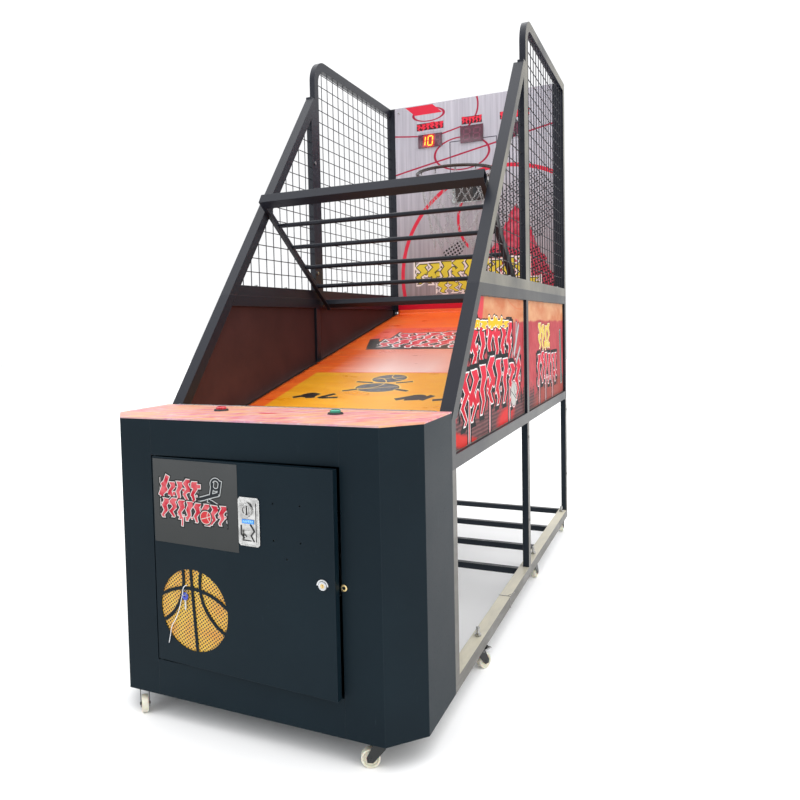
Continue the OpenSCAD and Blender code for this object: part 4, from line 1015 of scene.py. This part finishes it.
legs = []
for level in range(levels):
    for k in range(12):
        shift = 0 if level % 2 == 0 else 1
        for step in (shift - 1, shift):
            a, b = knot(level, k), knot(level + 1, k + step)
            aim = (b - a).to_track_quat("X", "Z").to_matrix().to_4x4()
            size = Matrix.Diagonal(((b - a).length / 0.0784, 1, 1, 1))
            legs.append(copy_at(strand, "leg", Matrix.Translation(a) @ aim @ size))
net = joined("chain_net_links", legs)
bpy.ops.object.select_all(action="DESELECT")
net.select_set(True)
bpy.context.view_layer.objects.active = net
bpy.ops.object.shade_smooth()
chain_zinc = bare_metal("chain_zinc", (0.5, 0.5, 0.5), (0.3, 0.3, 0.3), 0.24)
put(net, "machine", "bright_steel", chain_zinc, "chain_net")
drop(strand)

# %% [markdown]
# The loudspeaker looks out through a ball-shaped opening backed by a yellow
# perforated sheet. The holes are small and very many, so they are drawn: a screen of
# dots that also dents the surface, each dot dark with painted shade from the cavity
# behind the sheet and ringed by a painted highlight on its edge. The sheet itself is
# a disc with a pressed rim, one inset and two small moves.

# %% Perforated grille
door_turn = Matrix.Translation((-0.2825, -1.242, 0)) @ Matrix.Rotation(
    math.radians(-3), 4, "Z") @ Matrix.Translation((0.2825, 1.242, 0))
bpy.ops.object.select_all(action="DESELECT")
bpy.ops.mesh.primitive_circle_add(vertices=96, radius=0.12, fill_type="NGON")
grille = bpy.context.object
bpy.ops.object.mode_set(mode="EDIT")
bpy.ops.mesh.select_all(action="SELECT")
bpy.ops.mesh.inset(thickness=0.004)
bpy.ops.transform.translate(value=(0, 0, 0.0005))
bpy.ops.mesh.inset(thickness=0.06)
bpy.ops.transform.translate(value=(0, 0, 0.0004))
bpy.ops.object.mode_set(mode="OBJECT")
wall_thick = grille.modifiers.new("wall", "SOLIDIFY")
wall_thick.thickness, wall_thick.offset = 0.001, -1
bpy.ops.object.modifier_apply(modifier="wall")
grille.matrix_world = door_turn @ Matrix.Translation((-0.158, -1.2466, 0.338)) @ Matrix.Rotation(
    math.pi / 2, 4, "X")
grille = joined("grille_sheet", [grille])
p = Print("perforated_yellow", "X", "Z", turn=ajar)
bloom = p.fade(p.grain(0.06, 3), 0.3, 0.7)
p.colour = p.mix(bloom, tone("e8a23a"), tone("f3d04c"))
holes = p.dots(0.0082, 0.31, 38)
# Painted shade: the holes are dark dots, the shade of the cavity behind the sheet.
deep = p.fade(holes, 0.0004, -0.0004)
# Painted highlight: a bright ring round the edge of each hole.
hole_edge_highlight = p.fade(p.math("ABSOLUTE", holes), 0.0006, 0.0001)
p.colour = p.mix(p.math("MULTIPLY", hole_edge_highlight, 0.5), p.colour, tone("ffe68a"))
p.colour = p.mix(deep, p.colour, tone("120d08"))
p.deepen((0.72, 0.68, 0.6))
grille_yellow = p.finish(p.colour, 0.4, 0.0, p.fade(holes, -0.0006, 0.0006), 0.0008)
put(grille, "door", "grille", grille_yellow, "speaker_grille")

# %% [markdown]
# A coin plate is a zinc casting: a rounded boss with a slot in a bright oval rim,
# screws near its corners, a blue label, a turned-up right edge and a return mouth
# with a bent lip. The CAD gives the plate and the mouth; the raised trim is added
# here, each piece from the shape that a caster would start from.

# %% Coin plate trim
def on_door(x, y, z):
    """A point of the closed door, where it is with the door ajar."""
    return door_turn @ Vector((x, y, z))

FACE = -1.25
trim = []
bpy.ops.object.select_all(action="DESELECT")
bpy.ops.mesh.primitive_torus_add(major_radius=0.0062, minor_radius=0.0019, major_segments=32,
                                 minor_segments=10)
rim = bpy.context.object
for v in rim.data.vertices:
    v.co.y += 0.0125 if v.co.y > 0 else -0.0125
bpy.ops.object.shade_smooth()
rim.matrix_world = door_turn @ Matrix.Translation((0.0345, FACE - 0.0062, 0.6425)) @ \
    Matrix.Rotation(math.pi / 2, 4, "X")
trim.append(rim)
head = spun("screw_head", [(0, 0.0022), (0.0016, 0.0021), (0.003, 0.0014), (0.0036, 0.0004),
                           (0.0036, 0.0)], 20)
for x, z in ((0.0125, 0.666), (0.064, 0.664), (0.064, 0.556), (0.0125, 0.668 - 0.014)):
    trim.append(copy_at(head, "screw", door_turn @ Matrix.Translation((x, FACE - 0.003, z)) @
                        Matrix.Rotation(math.pi / 2, 4, "X")))
boss = spun("boss", [(0.0172, 0.0), (0.017, 0.0014), (0.0158, 0.0026), (0.0142, 0.003),
                     (0.0128, 0.0026), (0.0126, 0.0022)], 40)
boss.matrix_world = door_turn @ Matrix.Translation((0.0345, FACE - 0.0058, 0.642)) @ \
    Matrix.Rotation(math.pi / 2, 4, "X")
trim.append(boss)

def bead(a, b, radius):
    """A raised line on the plate, from a to b across its face."""
    return rod(on_door(a[0], FACE - 0.0034, a[1]), on_door(b[0], FACE - 0.0034, b[1]), radius)

for a, b, r in (((0.0655, 0.554), (0.0655, 0.666), 0.0014), ((0.012, 0.5475), (0.026, 0.5465), 0.0015),
                ((0.026, 0.5465), (0.036, 0.549), 0.0015), ((0.036, 0.549), (0.058, 0.5465), 0.0015)):
    trim.append(bead(a, b, r))
# Painted shade: dark rods of black plastic laid in the grooves and hollows of the casting stand for the
# shade in its relief.
shadow_gaps = [bead(a, b, r) for a, b, r in (
    ((0.043, 0.604), (0.056, 0.586), 0.0022), ((0.056, 0.586), (0.045, 0.574), 0.0022),
    ((0.045, 0.574), (0.055, 0.558), 0.0018), ((0.014, 0.600), (0.014, 0.575), 0.002),
    ((0.014, 0.575), (0.024, 0.566), 0.002), ((0.0615, 0.556), (0.0615, 0.664), 0.001),
    ((0.047, 0.640), (0.0485, 0.652), 0.0018), ((0.0485, 0.652), (0.044, 0.660), 0.0016))]
gap_shade_rods = joined("coin_plate_gap_shade", shadow_gaps)
put(gap_shade_rods, "door", "black_plastic", black_plastic)
coin_trim = joined("coin_plate_trim", trim)
cast_zinc = bare_metal("cast_zinc", (0.5, 0.5, 0.49), (0.27, 0.27, 0.265), 0.22, (3, 1, 3), 0.7)
put(coin_trim, "door", "bright_steel", cast_zinc)
dress(cast_zinc, "coin_acceptor")
drop(head)

# %% Coin label
bpy.ops.object.select_all(action="DESELECT")
bpy.ops.mesh.primitive_cube_add(size=1, location=(0.0365, FACE - 0.0044, 0.611))
label = bpy.context.object
label.scale = (0.038, 0.0006, 0.0115)
bpy.ops.object.transform_apply(location=True, scale=True)
soft = label.modifiers.new("soft", "BEVEL")
soft.width, soft.segments = 0.0002, 2
bpy.ops.object.modifier_apply(modifier="soft")
label.matrix_world = door_turn
label = joined("coin_label", [label])
p = Print("coin_label_print", "X", "Z", turn=ajar)
p.colour = p.mix(p.fade(p.grain(0.006, 3), 0.35, 0.65), tone("1f6fc4"), tone("3f92e0"))
marks = p.strokes(0.2825 + 0.020, 0.2825 + 0.053, 0.611, 0.007, 6, 20, 0.4, 1)
p.ink(tone("8cc4f4"), marks, 0.0002)
put(label, "door", "poster", p.finish(p.colour, 0.35, 0.0, p.grain(0.002, 2), 0.00005))

# %% [markdown]
# The spare key hangs on the grille by a thin wire tie: a round blue head with a
# hole, a steel blade with notches along one edge, a wire loop, and the long tail of
# the tie running down past the ball. The tail is a curve given a thickness, which
# bends where a real wire would.

# %% Spare key
key = Vector((-0.185, 0, 0.376))
bpy.ops.object.select_all(action="DESELECT")
bow = spun("bow", [(0.0026, -0.0010), (0.0034, -0.0015), (0.0085, -0.0016), (0.0108, -0.0009),
                   (0.0112, 0.0), (0.0108, 0.0009), (0.0085, 0.0016), (0.0034, 0.0015),
                   (0.0026, 0.0010), (0.0026, -0.0010)], 32)
bow.matrix_world = door_turn @ Matrix.Translation((key.x, FACE - 0.0034, key.z)) @ \
    Matrix.Rotation(math.pi / 2, 4, "X")
bow = joined("key_bow", [bow])
blue_plastic = moulded("blue_plastic", (0.03, 0.06, 0.42), 0.25, 0.1)
put(bow, "door", "cam_brass", blue_plastic, "spare_key")
bpy.ops.mesh.primitive_grid_add(x_subdivisions=9, y_subdivisions=2, size=1)
blade = bpy.context.object
for v in blade.data.vertices:
    along = v.co.x + 0.5
    edge = v.co.y * 0.0068
    if v.co.y < -0.4:
        edge += (0, 0.0018, 0.0006, 0.0024, 0.0009, 0.002, 0.0005, 0.0022, 0.0016)[
            min(8, int(along * 9))]
    v.co = (edge, 0, key.z - 0.0095 - along * 0.0285)
plate = blade.modifiers.new("plate", "SOLIDIFY")
plate.thickness, plate.offset = 0.0018, 0
bpy.ops.object.modifier_apply(modifier="plate")
blade.matrix_world = door_turn @ Matrix.Translation((key.x, FACE - 0.003, 0))

def wire(name, points, radius):
    """A round wire through points, as a mesh."""
    bpy.ops.object.select_all(action="DESELECT")
    bpy.ops.curve.primitive_bezier_curve_add()
    ob = bpy.context.object
    ob.name = name
    spline = ob.data.splines[0]
    spline.bezier_points.add(len(points) - 2)
    for q, at in zip(spline.bezier_points, points):
        q.co = at
        q.handle_left_type = q.handle_right_type = "AUTO"
    ob.data.bevel_depth, ob.data.bevel_resolution, ob.data.use_fill_caps = radius, 2, True
    ob.data.resolution_u = 8
    bpy.ops.object.convert(target="MESH")
    return bpy.context.object

ring_points = [(key.x + 0.0065 * math.cos(a), FACE - 0.0034 + 0.0045 * math.sin(a),
                key.z + 0.0105 + 0.0065 * math.sin(a * 1.0)) for a in
               [i * math.pi / 6 for i in range(13)]]
ring = wire("key_ring", [door_turn @ Vector(q) for q in ring_points], 0.0008)
steel_bits = joined("key_blade", [blade, ring])
put(steel_bits, "door", "bright_steel", zinc)
tail_points = [(-0.178, -1.2512, 0.408), (-0.186, -1.2542, 0.404), (-0.191, -1.2548, 0.393),
               (-0.1935, -1.2546, 0.38), (-0.199, -1.2540, 0.362), (-0.210, -1.2530, 0.33),
               (-0.224, -1.2524, 0.302), (-0.236, -1.2524, 0.284), (-0.2435, -1.2526, 0.255),
               (-0.249, -1.2530, 0.232)]
tail = wire("key_tie", [door_turn @ Vector(q) for q in tail_points], 0.0011)
tie_white = moulded("tie_white", (0.8, 0.8, 0.82), 0.3)
put(tail, "door", "wheel_nylon", tie_white)

# %% [markdown]
# A caster wheel is turned from nylon: a flat tread with rounded shoulders, a dished
# side and a hub as wide as the fork allows. Its outline is drawn once as a closed
# profile and spun, and the eight wheels are copies laid on their axles.

# %% Wheels
tread = [(0.0041, -0.0104), (0.0082, -0.0104), (0.0092, -0.0096), (0.0096, -0.0062),
         (0.0178, -0.0056), (0.0196, -0.0088), (0.0226, -0.0098), (0.0244, -0.0086),
         (0.0249, -0.0055), (0.025, 0.0), (0.0249, 0.0055), (0.0244, 0.0086), (0.0226, 0.0098),
         (0.0196, 0.0088), (0.0178, 0.0056), (0.0096, 0.0062), (0.0092, 0.0096),
         (0.0082, 0.0104), (0.0041, 0.0104), (0.0041, -0.0104)]
wheel_stock = spun("wheel_stock", tread, 48)
for i in range(1, 9):
    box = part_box(f"caster_wheel_{i}")
    middle = (Vector(box[0]) + Vector(box[1])) / 2
    lie = next(j for j in frame["joints"] if j["name"] == f"roll_{i}")["axis"]
    aim = Vector(lie).to_track_quat("Z", "Y").to_matrix().to_4x4()
    wheel = copy_at(wheel_stock, f"wheel_tread_{i}", Matrix.Translation(middle) @ aim)
    wheel = joined(f"wheel_tread_{i}", [wheel])
    put(wheel, f"wheel_{i}", "wheel_nylon", nylon, f"caster_wheel_{i}")
drop(wheel_stock)

# %% [markdown]
# Small screws hold the board at its corners and the hoop's bracket in its slots.
# They are pan heads: a low dome from a spun profile, with a cross cut for the
# driver, which at this size is four short dark grooves pressed into the dome.

# %% Board and bracket screws
pan = spun("pan_head", [(0, 0.0034), (0.002, 0.0033), (0.0042, 0.0026), (0.0056, 0.0012),
                        (0.006, 0.0), (0.006, -0.001)], 24)
bpy.ops.object.select_all(action="DESELECT")
pan.select_set(True)
bpy.context.view_layer.objects.active = pan
bpy.ops.object.mode_set(mode="EDIT")
bm = bmesh.from_edit_mesh(pan.data)
for v in bm.verts:
    if v.co.z > 0.0024 and v.co.xy.length > 0.0005 and min(abs(v.co.x), abs(v.co.y)) < 0.0006:
        v.co.z -= 0.0011
bmesh.update_edit_mesh(pan.data)
bpy.ops.object.mode_set(mode="OBJECT")
heads = []
for x in (-0.411, 0.411):
    for z in (1.237, 2.322):
        heads.append(copy_at(pan, "screw", Matrix.Translation((x, 1.2039, z)) @
                             Matrix.Rotation(math.pi / 2, 4, "X")))
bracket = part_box("hoop_bracket")
for x in (-0.095, 0.095):
    for z in (1.805, 1.845, 1.88):
        heads.append(copy_at(pan, "screw", Matrix.Translation((x, bracket[0][1] - 0.0001, z)) @
                             Matrix.Rotation(math.pi / 2, 4, "X")))
screws = joined("board_screws", heads)
put(screws, "machine", "bright_steel", zinc)
drop(pan)

# %% Stock put away
drop(rod_stock)
